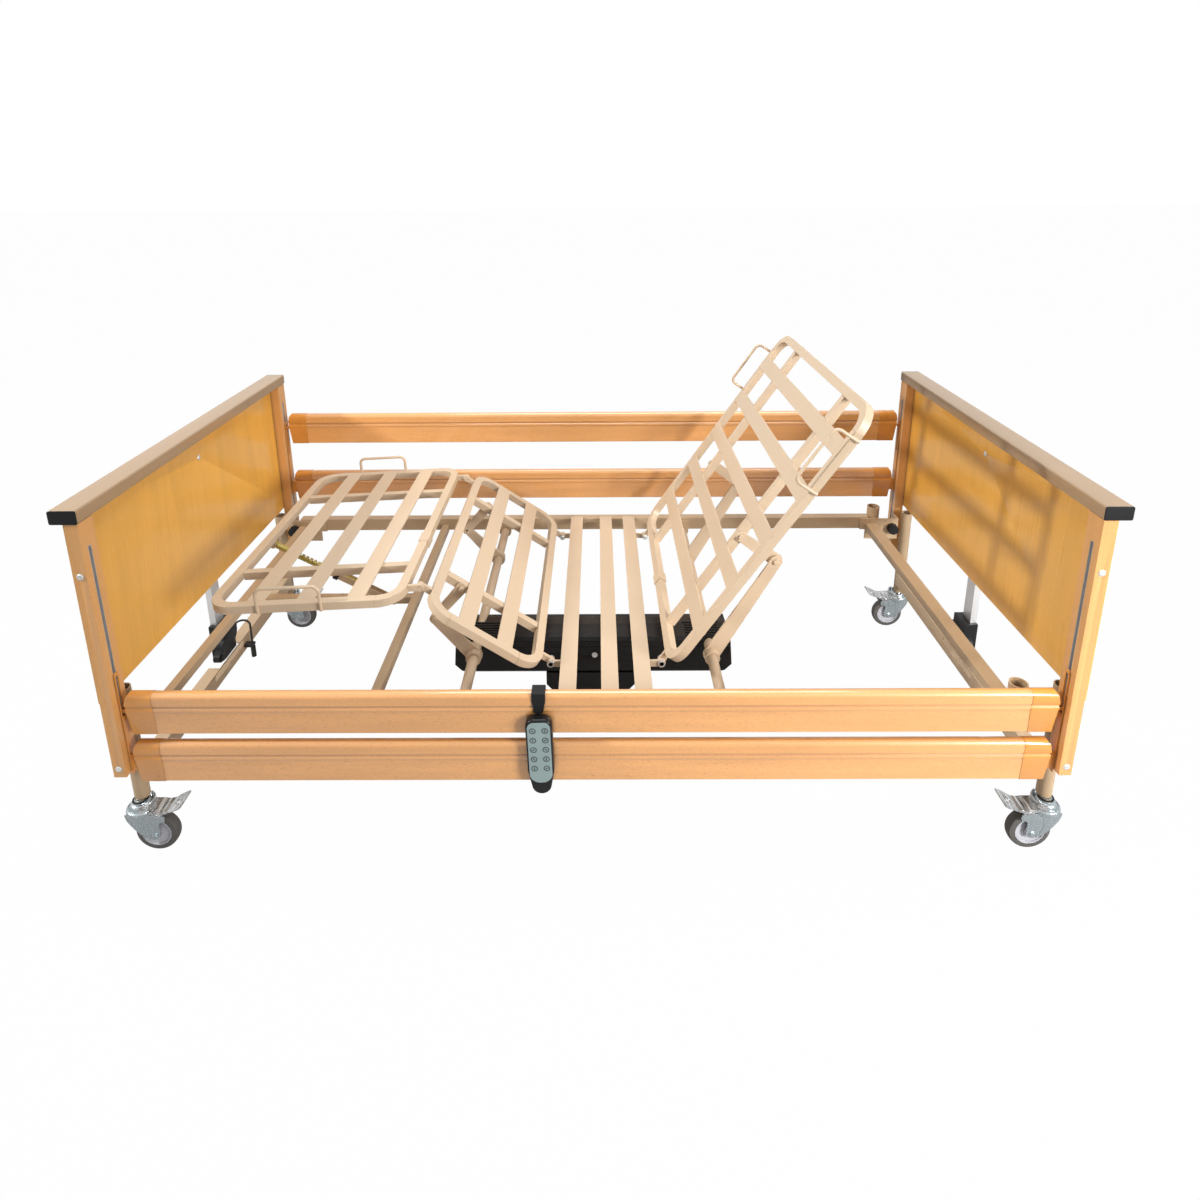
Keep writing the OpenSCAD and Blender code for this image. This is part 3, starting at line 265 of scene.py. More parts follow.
def drawn_metal(name, base, along, roughness=0.4):
    """Extruded aluminium with fine draw lines along one axis."""
    f = Finish(name, Metallic=0.85)
    lines = f.noise(1.0, 4.0, 0.7, 0.0, f.stretched(along, 3.0, 900.0))
    clouds = f.noise(12.0, 3.0)
    tone = f.mixed(lines, shade(base, 0.88), shade(base, 1.1))
    rough = f.ranged(f.maths("ADD", lines, clouds), 0.6, 1.4, roughness - 0.06, roughness + 0.08)
    return f.cover(tone, rough, lines, 0.08, 0.0002, 0.0006)


def make_finishes(colours):
    """All the bed's materials by a short key."""
    return {
        "frame": powder_coat("frame_coat", colours.frame_coat),
        "deck": powder_coat("deck_coat", colours.deck_coat),
        "post": wood("post_beech", colours.beech, 2, pore=0.35, spread=0.10),
        "rail": wood("rail_beech", colours.rail_wood, 0, pore=0.7, spread=0.10, coat=1.0),
        "board": wood("board_facing", colours.board, 2, pore=0.3, spread=0.09, gloss=0.3, broad=0.8),
        "cap_rail": wood("cap_rail_facing", colours.cap_rail, 1, pore=0.2, spread=0.06),
        "rail_cap": moulded("rail_cap_plastic", colours.rail_cap, 0.3, 700.0, 0.06, 0.0005, Coat_Weight=0.6),
        "black": moulded("black_plastic", (0.010, 0.010, 0.011), 0.4, Specular_IOR_Level=0.25),
        "housing": moulded("housing_plastic", colours.housing, 0.3, 1100.0, 0.16, Specular_IOR_Level=0.22),
        "channel": drawn_metal("channel_aluminium", (0.72, 0.72, 0.72), 2),
        "column": drawn_metal("column_aluminium", (0.80, 0.80, 0.80), 2),
        "zinc": plated("castor_zinc", colours.zinc, 0.24, 0.07, 2),
        "bolt": plated("bolt_zinc", (0.72, 0.72, 0.70), 0.45, 0.08),
        "pedal": plated("pedal_zinc", (0.50, 0.51, 0.51), 0.2, 0.5, 1),
        "tyre": moulded("tyre_rubber", (0.085, 0.078, 0.072), 0.6, 500.0, 0.2),
        "hub": moulded("hub_plastic", (0.42, 0.42, 0.45), 0.42),
        "stay": passivated("stay_zinc"),
        "lead": moulded("lead_rubber", (0.014, 0.014, 0.014), 0.45),
        "keypad": moulded("keypad_film", colours.keypad, 0.4, 600.0, 0.05, 0.0004),
        "handset": moulded("handset_plastic", (0.006, 0.006, 0.007), 0.26, 1300.0, 0.05, 0.0,
                           Specular_IOR_Level=0.3),
        # painted shade: the legs take the frame coat darkened, standing for the shade they sit in under the
        # bed
        "leg": powder_coat("leg_coat", shade(colours.frame_coat, 0.85)),
        "key": moulded("key_ring", (0.035, 0.045, 0.045), 0.4, 600.0, 0.05, 0.0002),
    }


# ---------- mesh building ----------

WELD = 0.000004  # vertices this close are one
FLAT = math.radians(1.0)  # faces that meet flatter than this are one
EDGE_ANGLE = 48.0  # degrees; sharper edges are rounded


def written(work, mesh):
    """Writes the work to a mesh with its faces outwards."""
    bmesh.ops.recalc_face_normals(work, faces=work.faces)
    work.to_mesh(mesh)
    work.free()
    return mesh


def walled(work, rings):
    """Faces between each ring of vertices and the next."""
    count = len(rings[0])
    for one, two in zip(rings, rings[1:]):
        for k in range(count):
            n = (k + 1) % count
            work.faces.new((one[k], one[n], two[n], two[k]))


def round_z(radius, height, angle):
    """The point at an angle round Z."""
    return radius * math.cos(angle), radius * math.sin(angle), height


def finish_mesh(name, mesh, material, node, sharp, replaces=True):
    """Makes a mesh a piece on the body of a CAD node, and hides the node when the piece stands for it."""
    mesh.polygons.foreach_set("use_smooth", [True] * len(mesh.polygons))
    mesh.set_sharp_from_angle(angle=math.radians(sharp))
    piece = bpy.data.objects.new(name, mesh)
    bpy.context.scene.collection.objects.link(piece)
    if material != "own":
        mesh.materials.clear()
        mesh.materials.append(material)
    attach(piece, body_of(node))
    if replaces:
        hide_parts(node)
    return piece


def body_of(node):
    """Name of the body that a CAD node rides on."""
    return next(b for b, names in frame["record"]["behaviour"]["bodies"].items() if node in names)


def softened(node, material, radius, angle):
    """A copy of a CAD node, merged into whole faces, with its sharp edges rounded."""
    mesh = bpy.data.meshes.new(node)
    work = merged(node)
    bmesh.ops.dissolve_degenerate(work, edges=work.edges, dist=WELD)
    bmesh.ops.dissolve_limit(work, angle_limit=FLAT, verts=work.verts, edges=work.edges)
    work.to_mesh(mesh)
    work.free()
    return round_edges(finish_mesh(node + "_piece", mesh, material, node, EDGE_ANGLE), radius, angle)


def round_edges(piece, radius, angle=EDGE_ANGLE):
    """Rounds a piece's sharp edges."""
    bevel = piece.modifiers.new("Rounded edges", "BEVEL")
    bevel.width = radius
    bevel.segments = 2
    bevel.limit_method = "ANGLE"
    bevel.angle_limit = math.radians(angle)
    bevel.use_clamp_overlap = True
    bevel.harden_normals = True
    return piece


def merged(node):
    """A copy of a CAD node's mesh with its loose triangles joined up."""
    work = bmesh.new()
    work.from_mesh(NODES[node].data)
    bmesh.ops.remove_doubles(work, verts=work.verts, dist=WELD)
    return work


def islands(node):
    """The separate solids of a CAD node, each as (lowest corner, highest corner)."""
    work = merged(node)
    seen, boxes = set(), []
    for start in work.verts:
        if start in seen:
            continue
        stack, group = [start], []
        seen.add(start)
        while stack:
            vert = stack.pop()
            group.append(vert.co.copy())
            for edge in vert.link_edges:
                other = edge.other_vert(vert)
                if other not in seen:
                    seen.add(other)
                    stack.append(other)
        low = Vector(min(p[i] for p in group) for i in range(3))
        high = Vector(max(p[i] for p in group) for i in range(3))
        boxes.append((low, high))
    work.free()
    return boxes


def turned(profile, steps=48, closed=False):
    """A body of revolution about Z from (radius, height) pairs, with its poles closed."""
    mesh = bpy.data.meshes.new("turned")
    work = bmesh.new()
    rings = []
    for radius, height in profile:
        if radius < 1e-7:
            rings.append([work.verts.new((0, 0, height))])
            continue
        rings.append([work.verts.new(round_z(radius, height, 2 * math.pi * k / steps)) for k in range(steps)])
    pairs = list(zip(rings, rings[1:])) + ([(rings[-1], rings[0])] if closed else [])
    for first, second in pairs:
        for k in range(steps):
            ring = [first[k % len(first)], first[(k + 1) % len(first)],
                    second[(k + 1) % len(second)], second[k % len(second)]]
            corners = list(dict.fromkeys(ring))
            if len(corners) > 2:
                work.faces.new(corners)
    return written(work, mesh)


def swept(profile, start, end, steps=28):
    """A closed (radius, height) profile carried round Z between two angles, with flat ends."""
    mesh = bpy.data.meshes.new("swept")
    work = bmesh.new()
    rings = []
    for k in range(steps + 1):
        a = start + (end - start) * k / steps
        rings.append([work.verts.new(round_z(radius, height, a)) for radius, height in profile])
    walled(work, rings)
    work.faces.new(rings[0])
    work.faces.new(rings[-1])
    return written(work, mesh)


def placed_tree(name):
    """Node tree that sets an item at every point, turned by the point's own angles."""
    tree = bpy.data.node_groups.new(name, "GeometryNodeTree")
    add = tree.interface.new_socket
    for label, kind in (("Points", "Geometry"), ("Item", "Object"), ("Finish", "Material")):
        add(label, in_out="INPUT", socket_type="NodeSocket" + kind)
    add("Result", in_out="OUTPUT", socket_type="NodeSocketGeometry")
    new, link = tree.nodes.new, tree.links.new
    source, result = new("NodeGroupInput"), new("NodeGroupOutput")
    item, angles = new("GeometryNodeObjectInfo"), new("GeometryNodeInputNamedAttribute")
    turn, instances = new("FunctionNodeEulerToRotation"), new("GeometryNodeInstanceOnPoints")
    real, finish = new("GeometryNodeRealizeInstances"), new("GeometryNodeSetMaterial")
    angles.data_type = "FLOAT_VECTOR"
    angles.inputs["Name"].default_value = "turn"
    link(source.outputs["Item"], item.inputs["Object"])
    link(angles.outputs["Attribute"], turn.inputs[0])
    link(source.outputs["Points"], instances.inputs["Points"])
    link(item.outputs["Geometry"], instances.inputs["Instance"])
    link(turn.outputs[0], instances.inputs["Rotation"])
    link(instances.outputs[0], real.inputs[0])
    link(real.outputs[0], finish.inputs["Geometry"])
    link(source.outputs["Finish"], finish.inputs["Material"])
    link(finish.outputs[0], result.inputs[0])
    return tree


def placed(item_mesh, places, material):
    """One mesh with a copy of the item at each (point, direction, roll)."""
    tree = bpy.data.node_groups.get("placed_items") or placed_tree("placed_items")
    scene = bpy.context.scene
    item = bpy.data.objects.new("item", item_mesh)
    host_mesh = bpy.data.meshes.new("places")
    host_mesh.from_pydata([tuple(p[0]) for p in places], [], [])
    turns = host_mesh.attributes.new("turn", "FLOAT_VECTOR", "POINT")
    for slot, (_, direction, roll) in zip(turns.data, places):
        turn = Vector(direction).to_track_quat("Z", "Y").to_matrix() @ Matrix.Rotation(roll, 3, "Z")
        slot.vector = turn.to_euler()
    host = bpy.data.objects.new("places", host_mesh)
    for thing in (item, host):
        scene.collection.objects.link(thing)
    modifier = host.modifiers.new("Placed", "NODES")
    modifier.node_group = tree
    sockets = {i.name: i.identifier for i in tree.interface.items_tree if i.in_out == "INPUT"}
    modifier[sockets["Item"]], modifier[sockets["Finish"]] = item, material
    graph = bpy.context.evaluated_depsgraph_get()
    mesh = bpy.data.meshes.new_from_object(host.evaluated_get(graph), depsgraph=graph)
    for thing in (host, item):
        bpy.data.objects.remove(thing)
    return mesh


def joined(*meshes):
    """Several meshes as one, with their materials kept."""
    mesh, materials = bpy.data.meshes.new("joined"), []
    work = bmesh.new()
    for part in meshes:
        first = len(work.faces)
        work.from_mesh(part)
        work.faces.ensure_lookup_table()
        own = list(part.materials) or [None]
        base = len(materials)
        materials += own
        for face in work.faces[first:]:
            face.material_index += base
    work.to_mesh(mesh)
    work.free()
    for material in materials:
        mesh.materials.append(material)
    return mesh


def flat_body(outline, low, high, edge=0.0, segments=2):
    """A plate from an (x, z) outline, standing between two heights along Y, with rounded rims."""
    mesh = bpy.data.meshes.new("flat_body")
    work = bmesh.new()
    first = [work.verts.new((x, low, z)) for x, z in outline]
    second = [work.verts.new((x, high, z)) for x, z in outline]
    work.faces.new(first)
    work.faces.new(reversed(second))
    count = len(outline)
    for k in range(count):
        n = (k + 1) % count
        work.faces.new((first[n], first[k], second[k], second[n]))
    bmesh.ops.recalc_face_normals(work, faces=work.faces)
    if edge:
        rims = [e for e in work.edges if abs(e.verts[0].co.y - e.verts[1].co.y) < 1e-7]
        bmesh.ops.bevel(work, geom=rims, offset=edge, segments=segments, profile=0.6, affect="EDGES")
    work.to_mesh(mesh)
    work.free()
    return mesh


def smoothed(points, steps=4):
    """A closed outline through the points, rounded as a Catmull-Rom curve."""
    result, count = [], len(points)
    for k in range(count):
        a, b, c, d = (Vector(points[(k + i) % count]) for i in (-1, 0, 1, 2))
        for step in range(steps):
            t = step / steps
            result.append(0.5 * (2 * b + (c - a) * t + (2 * a - 5 * b + 4 * c - d) * t * t
                                 + (3 * b - a - 3 * c + d) * t * t * t))
    return [tuple(point) for point in result]


def cut_out(mesh, *cutters):
    """The mesh with the closed cutters taken away."""
    scene = bpy.context.scene
    item = bpy.data.objects.new("cut", mesh)
    scene.collection.objects.link(item)
    tools = []
    for cutter in cutters:
        tool = bpy.data.objects.new("cutter", cutter)
        scene.collection.objects.link(tool)
        tools.append(tool)
        change = item.modifiers.new("Hole", "BOOLEAN")
        change.object, change.operation, change.solver = tool, "DIFFERENCE", "EXACT"
    graph = bpy.context.evaluated_depsgraph_get()
    result = bpy.data.meshes.new_from_object(item.evaluated_get(graph), depsgraph=graph)
    for thing in (item, *tools):
        bpy.data.objects.remove(thing)
    return result


def bent_sheet(path, widths, thickness):
    """A sheet along a path of (x, z) points, as wide each side as the widths say."""
    work = bmesh.new()
    mesh = bpy.data.meshes.new("bent_sheet")
    across = [-1.0, -0.85, -0.5, 0.0, 0.5, 0.85, 1.0]
    rows = []
    for k, (point, width) in enumerate(zip(path, widths)):
        before, after = Vector(path[max(k - 1, 0)]), Vector(path[min(k + 1, len(path) - 1)])
        along = (after - before).normalized()
        normal = Vector((-along.y, along.x))
        if normal.y < 0:
            normal = -normal
        half = normal * thickness / 2
        top = [work.verts.new((point[0] + half.x, a * width, point[1] + half.y)) for a in across]
        low = [work.verts.new((point[0] - half.x, a * width, point[1] - half.y)) for a in across]
        rows.append(top + low[::-1])
    walled(work, rows)
    work.faces.new(rows[0])
    work.faces.new(reversed(rows[-1]))
    return written(work, mesh)


def faced_outwards(mesh):
    """Turns every face outwards, as after a mirrored placing."""
    work = bmesh.new()
    work.from_mesh(mesh)
    return written(work, mesh)


def along_y(point, way=1):
    """Matrix that sets a body drawn on Z at a point, along Y or against it."""
    return Matrix.Translation(point) @ Matrix.Rotation(-way * math.pi / 2, 4, "X")


def given(mesh, material, matrix=None):
    """A mesh with one material, moved into place."""
    if matrix is not None:
        mesh.transform(matrix)
    mesh.materials.clear()
    mesh.materials.append(material)
    return mesh


# ---------- operators ----------

FINISH = {}


class BED_OT_finishes(bpy.types.Operator):
    """Give every part of the frame its finish"""

    bl_idname = "bed.finishes"
    bl_label = "Finishes"

    def execute(self, context):
        FINISH.update(make_finishes(context.scene.bed_finishes))
        for node, item in NODES.items():
            item.data.materials.clear()
            item.data.materials.append(FINISH[finish_key(node)])
        return {"FINISHED"}


KEYS = (
    ("castor_fork", "zinc"), ("castor_tyre", "tyre"), ("castor_hub", "hub"), ("castor_pedal", "pedal"),
    ("seat_deck", "deck"), ("back_", "deck"), ("thigh_", "deck"), ("calf_", "deck"),
    ("posts", "post"), ("cap_rails", "cap_rail"), ("slot_channels", "channel"),
    ("fasteners", "bolt"), ("motor_plug", "bolt"), ("actuator_rods", "bolt"), ("motor_case", "housing"),
    ("head_column", "column"), ("foot_column", "column"), ("foot_cable", "lead"),
    ("stay_inner", "stay"), ("stay_outer", "frame"), ("handset_keys", "keypad"),
)


def finish_key(node):
    """Which material a CAD node takes."""
    if node.endswith("_rail"):
        return "rail"
    if node.endswith("_caps"):
        return "rail_cap"
    if node.endswith("_board"):
        return "board"
    if node in ("hand_screws", "cap_plugs", "stay_clip", "handset_case", "handset_hook",
                "head_actuator", "foot_actuator"):
        return "black"
    for start, key in KEYS:
        if node.startswith(start):
            return key
    return "frame"


SOFT = (
    # nodes, edge radius setting
    (("main_frame", "seat_deck", "back_frame", "thigh_frame", "calf_frame"), "tube_edge"),
    (("back_crank", "back_links", "thigh_crank", "thigh_links", "corner_plates", "stay_outer", "stay_inner"),
     "plate_edge"),
    (("posts", "cap_rails", "head_board", "foot_board"), "wood_edge"),
    (("motor_case", "head_actuator", "foot_actuator", "cap_plugs", "stay_clip", "handset_hook"),
     "moulded_edge"),
    (("near_upper_caps", "near_lower_caps", "far_upper_caps", "far_lower_caps"), "moulded_edge"),
)


WIDE_ANGLES = {"tube_edge": 72.0}  # degrees; keeps the rounding off the bends of the tubes
HOOK_LIFT = 0.00005  # keeps the hook clear of the rail at every height


class BED_OT_soft_edges(bpy.types.Operator):
    """Round the edges of tubes, plates, boards and housings"""

    bl_idname = "bed.soft_edges"
    bl_label = "Rounded Edges"

    def execute(self, context):
        sizes = context.scene.bed_sizes
        for nodes, setting in SOFT:
            for node in nodes:
                piece = softened(node, FINISH[finish_key(node)], getattr(sizes, setting),
                                 WIDE_ANGLES.get(setting, EDGE_ANGLE))
                if node == "handset_hook":
                    piece.data.transform(Matrix.Translation((0, 0, HOOK_LIFT)))
        return {"FINISHED"}


def dome_head(radius, height):
    """Flanged round bolt head with a recess, standing on Z."""
    outline = (
        (1.0, 0.0), (1.0, 0.3), (0.94, 0.42), (0.8, 0.5), (0.72, 0.86), (0.55, 1.0), (0.38, 1.0),
        (0.34, 0.55), (0.0, 0.5),
    )
    return turned([(radius * a, height * b) for a, b in outline], 24)


def hex_head(radius, height):
    """Washer and hexagonal head with chamfered corners, standing on Z."""
    washer = turned([(0.0, 0.0), (radius, 0.0), (radius, height * 0.2), (radius * 0.97, height * 0.24),
                     (0.0, height * 0.24)], 32)
    head = turned([(0.0, height * 0.24), (radius * 0.78, height * 0.24), (radius * 0.78, height * 0.9),
                   (radius * 0.68, height), (0.0, height)], 6)
    return joined(washer, head)


DOME_SIZE = (0.0075, 0.0019)  # radius, height
HEX_SIZE = (0.0085, 0.0049)
BOARD_SEAT = 0.0015  # how far the heads on the end boards are let in
PIN_SHARE = 0.57  # radius of a pin as a share of its head's
FLAT_HEAD = 0.012  # a screw thinner than this along Y can lie along X
POST_SIDE = 0.49  # screws further out than this sit in the sides of the posts


class BED_OT_bolts(bpy.types.Operator):
    """Set the bolts, screws and hinge pins with their heads"""

    bl_idname = "bed.bolts"
    bl_label = "Bolts"

    def execute(self, context):
        steel = FINISH["bolt"]
        dome, head = DOME_SIZE[1], HEX_SIZE[1]
        domes, hexes, shanks = [], [], []
        for low, high in islands("fasteners"):
            centre, span = (low + high) / 2, high - low
            along_x = span.y > span.x * 0.98 and span.z > span.x * 1.05 and span.y < FLAT_HEAD
            axis = 0 if along_x else 1
            side = 1.0 if centre[axis] > 0 else -1.0
            direction = Vector((0, 0, 0))
            if axis == 0:
                direction.x = -side
                face = Vector((low.x if side > 0 else high.x, centre.y, centre.z))
                domes.append((face - direction * BOARD_SEAT, direction, 0.3))
                continue
            if abs(centre.y) > POST_SIDE:
                direction.y = side
                top = Vector((centre.x, high.y if side > 0 else low.y, centre.z))
                domes.append((top - direction * dome, direction, 0.5))
                continue
            radius = min(span.x, span.z) / 2
            for sign, y in ((-1.0, low.y), (1.0, high.y)):
                direction = Vector((0, sign, 0))
                seat = Vector((centre.x, y, centre.z)) - direction * head
                hexes.append((seat, direction, 0.2 + 7 * centre.x))
            shank, length = radius * PIN_SHARE, span.y - 2 * head
            rod = turned([(0, 0), (shank, 0), (shank, length), (0, length)], 24)
            shanks.append(given(rod, steel, along_y((centre.x, low.y + head, centre.z))))
        parts = [given(placed(dome_head(*DOME_SIZE), domes, steel), steel),
                 given(placed(hex_head(*HEX_SIZE), hexes, steel), steel)]
        mesh = faced_outwards(joined(*parts, *shanks))
        finish_mesh("bolts_and_pins", mesh, steel, "fasteners", 30.0)
        return {"FINISHED"}


HUB_BORE = 0.0044
RIM_SHARE = 0.72  # radius of the hub's rim as a share of the tyre's


class BED_OT_wheels(bpy.types.Operator):
    """Turn the tyres and the hubs of the castors"""

    bl_idname = "bed.wheels"
    bl_label = "Wheels"

    def execute(self, context):
        for corner in CORNERS:
            tyre, hub = "castor_tyre_" + corner, "castor_hub_" + corner
            r, w = extent(tyre).x / 2, extent(tyre).y / 2
            tread = [(r * math.sqrt(1 - 0.10 * t ** 2 - 0.07 * t ** 8), w * t)
                     for t in (k / 8 for k in range(-7, 8))]
            profile = [(r * 0.725, -w * 0.92), (r * 0.74, -w), (r * 0.8, -w), *tread,
                       (r * 0.8, w), (r * 0.74, w), (r * 0.725, w * 0.92)]
            mesh = turned(profile, 72, closed=True)
            given(mesh, FINISH["tyre"], along_y(middle(tyre), -1))
            finish_mesh("tyre_" + corner, mesh, FINISH["tyre"], tyre, 40.0)
            v, rim = extent(hub).y / 2, r * RIM_SHARE
            half = [(HUB_BORE, v), (0.0085, v), (0.0105, v - 0.0015), (0.0125, v - 0.003),
                    (0.0125, v - 0.0052), (0.016, v - 0.0062), (rim - 0.0085, v - 0.0062),
                    (rim - 0.0065, v - 0.005), (rim - 0.005, v - 0.005), (rim - 0.0035, v - 0.0022),
                    (rim - 0.001, v - 0.0016), (rim, v - 0.0025)]
            mesh = turned(half + [(a, -b) for a, b in reversed(half)], 72, closed=True)
            given(mesh, FINISH["hub"], along_y(middle(hub), -1))
            finish_mesh("hub_" + corner, mesh, FINISH["hub"], hub, 40.0)
        return {"FINISHED"}


# castor sizes in millimetres: the axle's way back from the swivel axis and up from the floor,
# then outlines as (along, up) and the cup as (radius, up)
TRAIL, AXLE = 31.0, 50.0
CUP_RADIUS, AXLE_RADIUS = 33.0, 4.2
CHEEK_PITCH, SWAGE_PITCH, NUT_PITCH, FLANGE_PITCH = 18.5, 19.9, 20.0, 21.4  # out from the middle
NUT_SIZE, RIVET_SIZE = (7.8, 3.9), (4.5, 1.5)  # radius, height
CHEEK = (
    (31, 108), (31.2, 100), (28.5, 90), (19, 74), (7, 58), (-4, 47), (-14, 41.4), (-24, 38.7), (-31, 38.2),
    (-38, 39.8), (-43, 44.5), (-44.6, 52), (-44.6, 62), (-44.2, 72), (-44.8, 79), (-47, 83.6), (-52, 85.6),
    (-57.5, 86.2), (-60.2, 89.5), (-60.6, 95), (-59, 101), (-54, 105), (-46, 107), (-20, 108), (10, 108.4),
)
SWAGE = ((15, 104), (15, 73), (4, 60), (-8, 50), (-13, 52), (-9, 62), (-8, 76), (-8, 104))
CUP = (
    (0, 103.5), (26, 103.5), (30, 104.5), (32.4, 106.8), (CUP_RADIUS, 109.5), (CUP_RADIUS, 115.6),
    (32.2, 118.6), (30.6, 120.2), (28.8, 120.8), (27.4, 119.8), (25.8, 119.8), (24.9, 121), (24.3, 125),
    (23, 128.4), (21, 130.4), (18.6, 131.6), (16.2, 132.4), (15.6, 133.4), (15.2, 136.2), (13.4, 136.4),
    (13.4, 138.4), (0, 138.4),
)
FORK_WALL = (
    (30, 107), (30.5, 99), (27, 89), (23, 83), (21, 84.5), (24.6, 90), (28, 99.5), (27.6, 104.5),
    (-56, 104.5), (-56, 107),
)
SEAL = ((13.6, 136.5), (17, 136.5), (17.7, 137), (17.6, 138.2), (17, 138.7), (13.6, 138.8))
PEDAL_PATH = (
    (-24, 118.4), (-40, 118.4), (-46, 118), (-49, 116.4), (-58, 116.2), (-61, 117.8), (-66, 118.2),
    (-69, 118), (-72, 118.8), (-78, 121.6), (-86, 125.4), (-94, 129), (-101, 132.2), (-105, 133.9),
    (-106.4, 134.4),
)
PEDAL_WIDTHS = (18, 20.4, 20.8, 21, 21, 21, 21.2, 22.2, 23.8, 25.6, 26.8, 27.6, 27.9, 26.8, 24.6)
PEDAL_FLANGE = (
    (-24, 119.4), (-46, 119), (-58, 117.2), (-66, 119), (-70, 119), (-72, 117), (-69, 113.5),
    (-62, 112), (-56, 108), (-50, 104.4), (-43, 104.2), (-38, 107), (-33, 112), (-24, 113),
)
PEDAL_LIP = ((5.3, -1.2), (9.5, -1.0), (10.2, 0.6), (9.4, 1.7), (7.6, 2.2), (6, 1.9), (5.3, 1))
PEDAL_COLLAR = (
    (26.4, 119), (30.6, 119), (30.9, 131), (30.2, 133.6), (28.6, 134.6), (26.9, 133.8), (26.4, 131.6),
)
COLLAR_ARC = (math.radians(112), math.radians(248))
PEDAL_SHEET = 2.2
EYE_PLACE, EYE_TILT, EYE_STRETCH = (-88.0, 126.4), math.radians(25), 1.35
RIVET_PLACE = (-45.0, 22.3, 110.0)


def metres(lengths):
    """Millimetres as metres."""
    return [length * MM for length in lengths]


def scaled(points):
    """Millimetre pairs as metres."""
    return [(a * MM, b * MM) for a, b in points]


def rod_outline(radius, reach):
    """Half outline, in metres, of a round rod that reaches as far both ways."""
    return scaled([(0, -reach), (radius, -reach), (radius, reach), (0, reach)])


def plate(outline, middle_y, half, edge, material):
    """A plate of a castor, set along Y by its middle and its half thickness in millimetres."""
    return given(flat_body(outline, (middle_y - half) * MM, (middle_y + half) * MM, edge), material)


def castor_place(corner):
    """Matrix that sets a castor drawn about its swivel axis, trailing towards -X, at a corner."""
    cup = middle("castor_fork_" + corner)
    side = 1.0 if cup.x > 0 else -1.0
    low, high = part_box("castor_fork_" + corner)
    swivel = (high[0] if side > 0 else low[0]) - side * CUP_RADIUS * MM
    return Matrix.Translation((swivel, cup.y, 0)) @ Matrix.Diagonal((side, 1, 1, 1))


class BED_OT_castors(bpy.types.Operator):
    """Form the pressed forks, the swivel cups and the brake pedals"""

    bl_idname = "bed.castors"
    bl_label = "Castors"

    def execute(self, context):
        for corner in CORNERS:
            self.fork(corner)
            self.pedal(corner)
        return {"FINISHED"}

    def fork(self, corner):
        steel = FINISH["zinc"]
        cheek = scaled(smoothed(CHEEK))
        parts = [given(turned(scaled(CUP), 64), steel)]
        for side in (-1, 1):
            parts.append(plate(cheek, side * CHEEK_PITCH, 1.5, 0.0011, steel))
            parts.append(plate(scaled(smoothed(SWAGE, 3)), side * SWAGE_PITCH, 0.8, 0.0007, steel))
            nut = along_y((-TRAIL * MM, side * NUT_PITCH * MM, AXLE * MM), side)
            parts.append(given(hex_head(*metres(NUT_SIZE)), steel, nut))
        parts.append(plate(scaled(FORK_WALL), 0, 19, 0.0005, steel))
        axle = turned(rod_outline(AXLE_RADIUS, NUT_PITCH), 24)
        parts.append(given(axle, steel, along_y((-TRAIL * MM, 0, AXLE * MM), -1)))
        mesh = joined(*parts)
        mesh.transform(castor_place(corner))
        node = "castor_fork_" + corner
        finish_mesh("fork_" + corner, faced_outwards(mesh), steel, node, 32.0)
        seal = turned(scaled(SEAL), 48, closed=True)
        seal.transform(castor_place(corner))
        finish_mesh("seal_" + corner, faced_outwards(seal), FINISH["black"], node, 32.0, replaces=False)

    def pedal(self, corner):
        steel = FINISH["pedal"]
        sheet = bent_sheet(scaled(PEDAL_PATH), metres(PEDAL_WIDTHS), PEDAL_SHEET * MM)
        along, up = metres(EYE_PLACE)
        eye = (Matrix.Translation((along, 0, up)) @ Matrix.Rotation(EYE_TILT, 4, "Y")
               @ Matrix.Diagonal((1.0, EYE_STRETCH, 1.0, 1.0)))
        hole = turned(rod_outline(5.4, 12), 32)
        hole.transform(eye)
        slot = flat_body(scaled([(-54.5, 100), (-51.5, 100), (-51.5, 130), (-54.5, 130)]), -9 * MM, 9 * MM)
        parts = [given(cut_out(sheet, hole, slot), steel)]
        parts.append(given(turned(scaled(PEDAL_LIP), 32, closed=True), steel, eye))
        for side in (-1, 1):
            parts.append(plate(scaled(PEDAL_FLANGE), side * FLANGE_PITCH, 1, 0.0006, steel))
            x, y, z = metres(RIVET_PLACE)
            parts.append(given(dome_head(*metres(RIVET_SIZE)), steel, along_y((x, side * y, z), side)))
        parts.append(given(swept(scaled(PEDAL_COLLAR), *COLLAR_ARC), steel))
        mesh = joined(*parts)
        mesh.transform(castor_place(corner))
        finish_mesh("pedal_" + corner, faced_outwards(mesh), steel, "castor_pedal_" + corner, 32.0)


LEG_RADIUS, LEG_DEPTH, LEG_WALL = 0.017, 0.0494, 0.0025
BARS_ABOVE = 0.4  # solids that start higher than this are the guide bars
BEAM_RUN = 0.016  # how far the beam's cut end runs into the round leg
SKIRT = 0.00095  # vertices this near the foot of the base belong to the square legs
BRACE_SEAT = 0.012  # how far out from the leg's middle the brace starts
BRACE = ((0.0, 0.171), (0.062, 0.171), (0.058, 0.165), (0.0, 0.150))


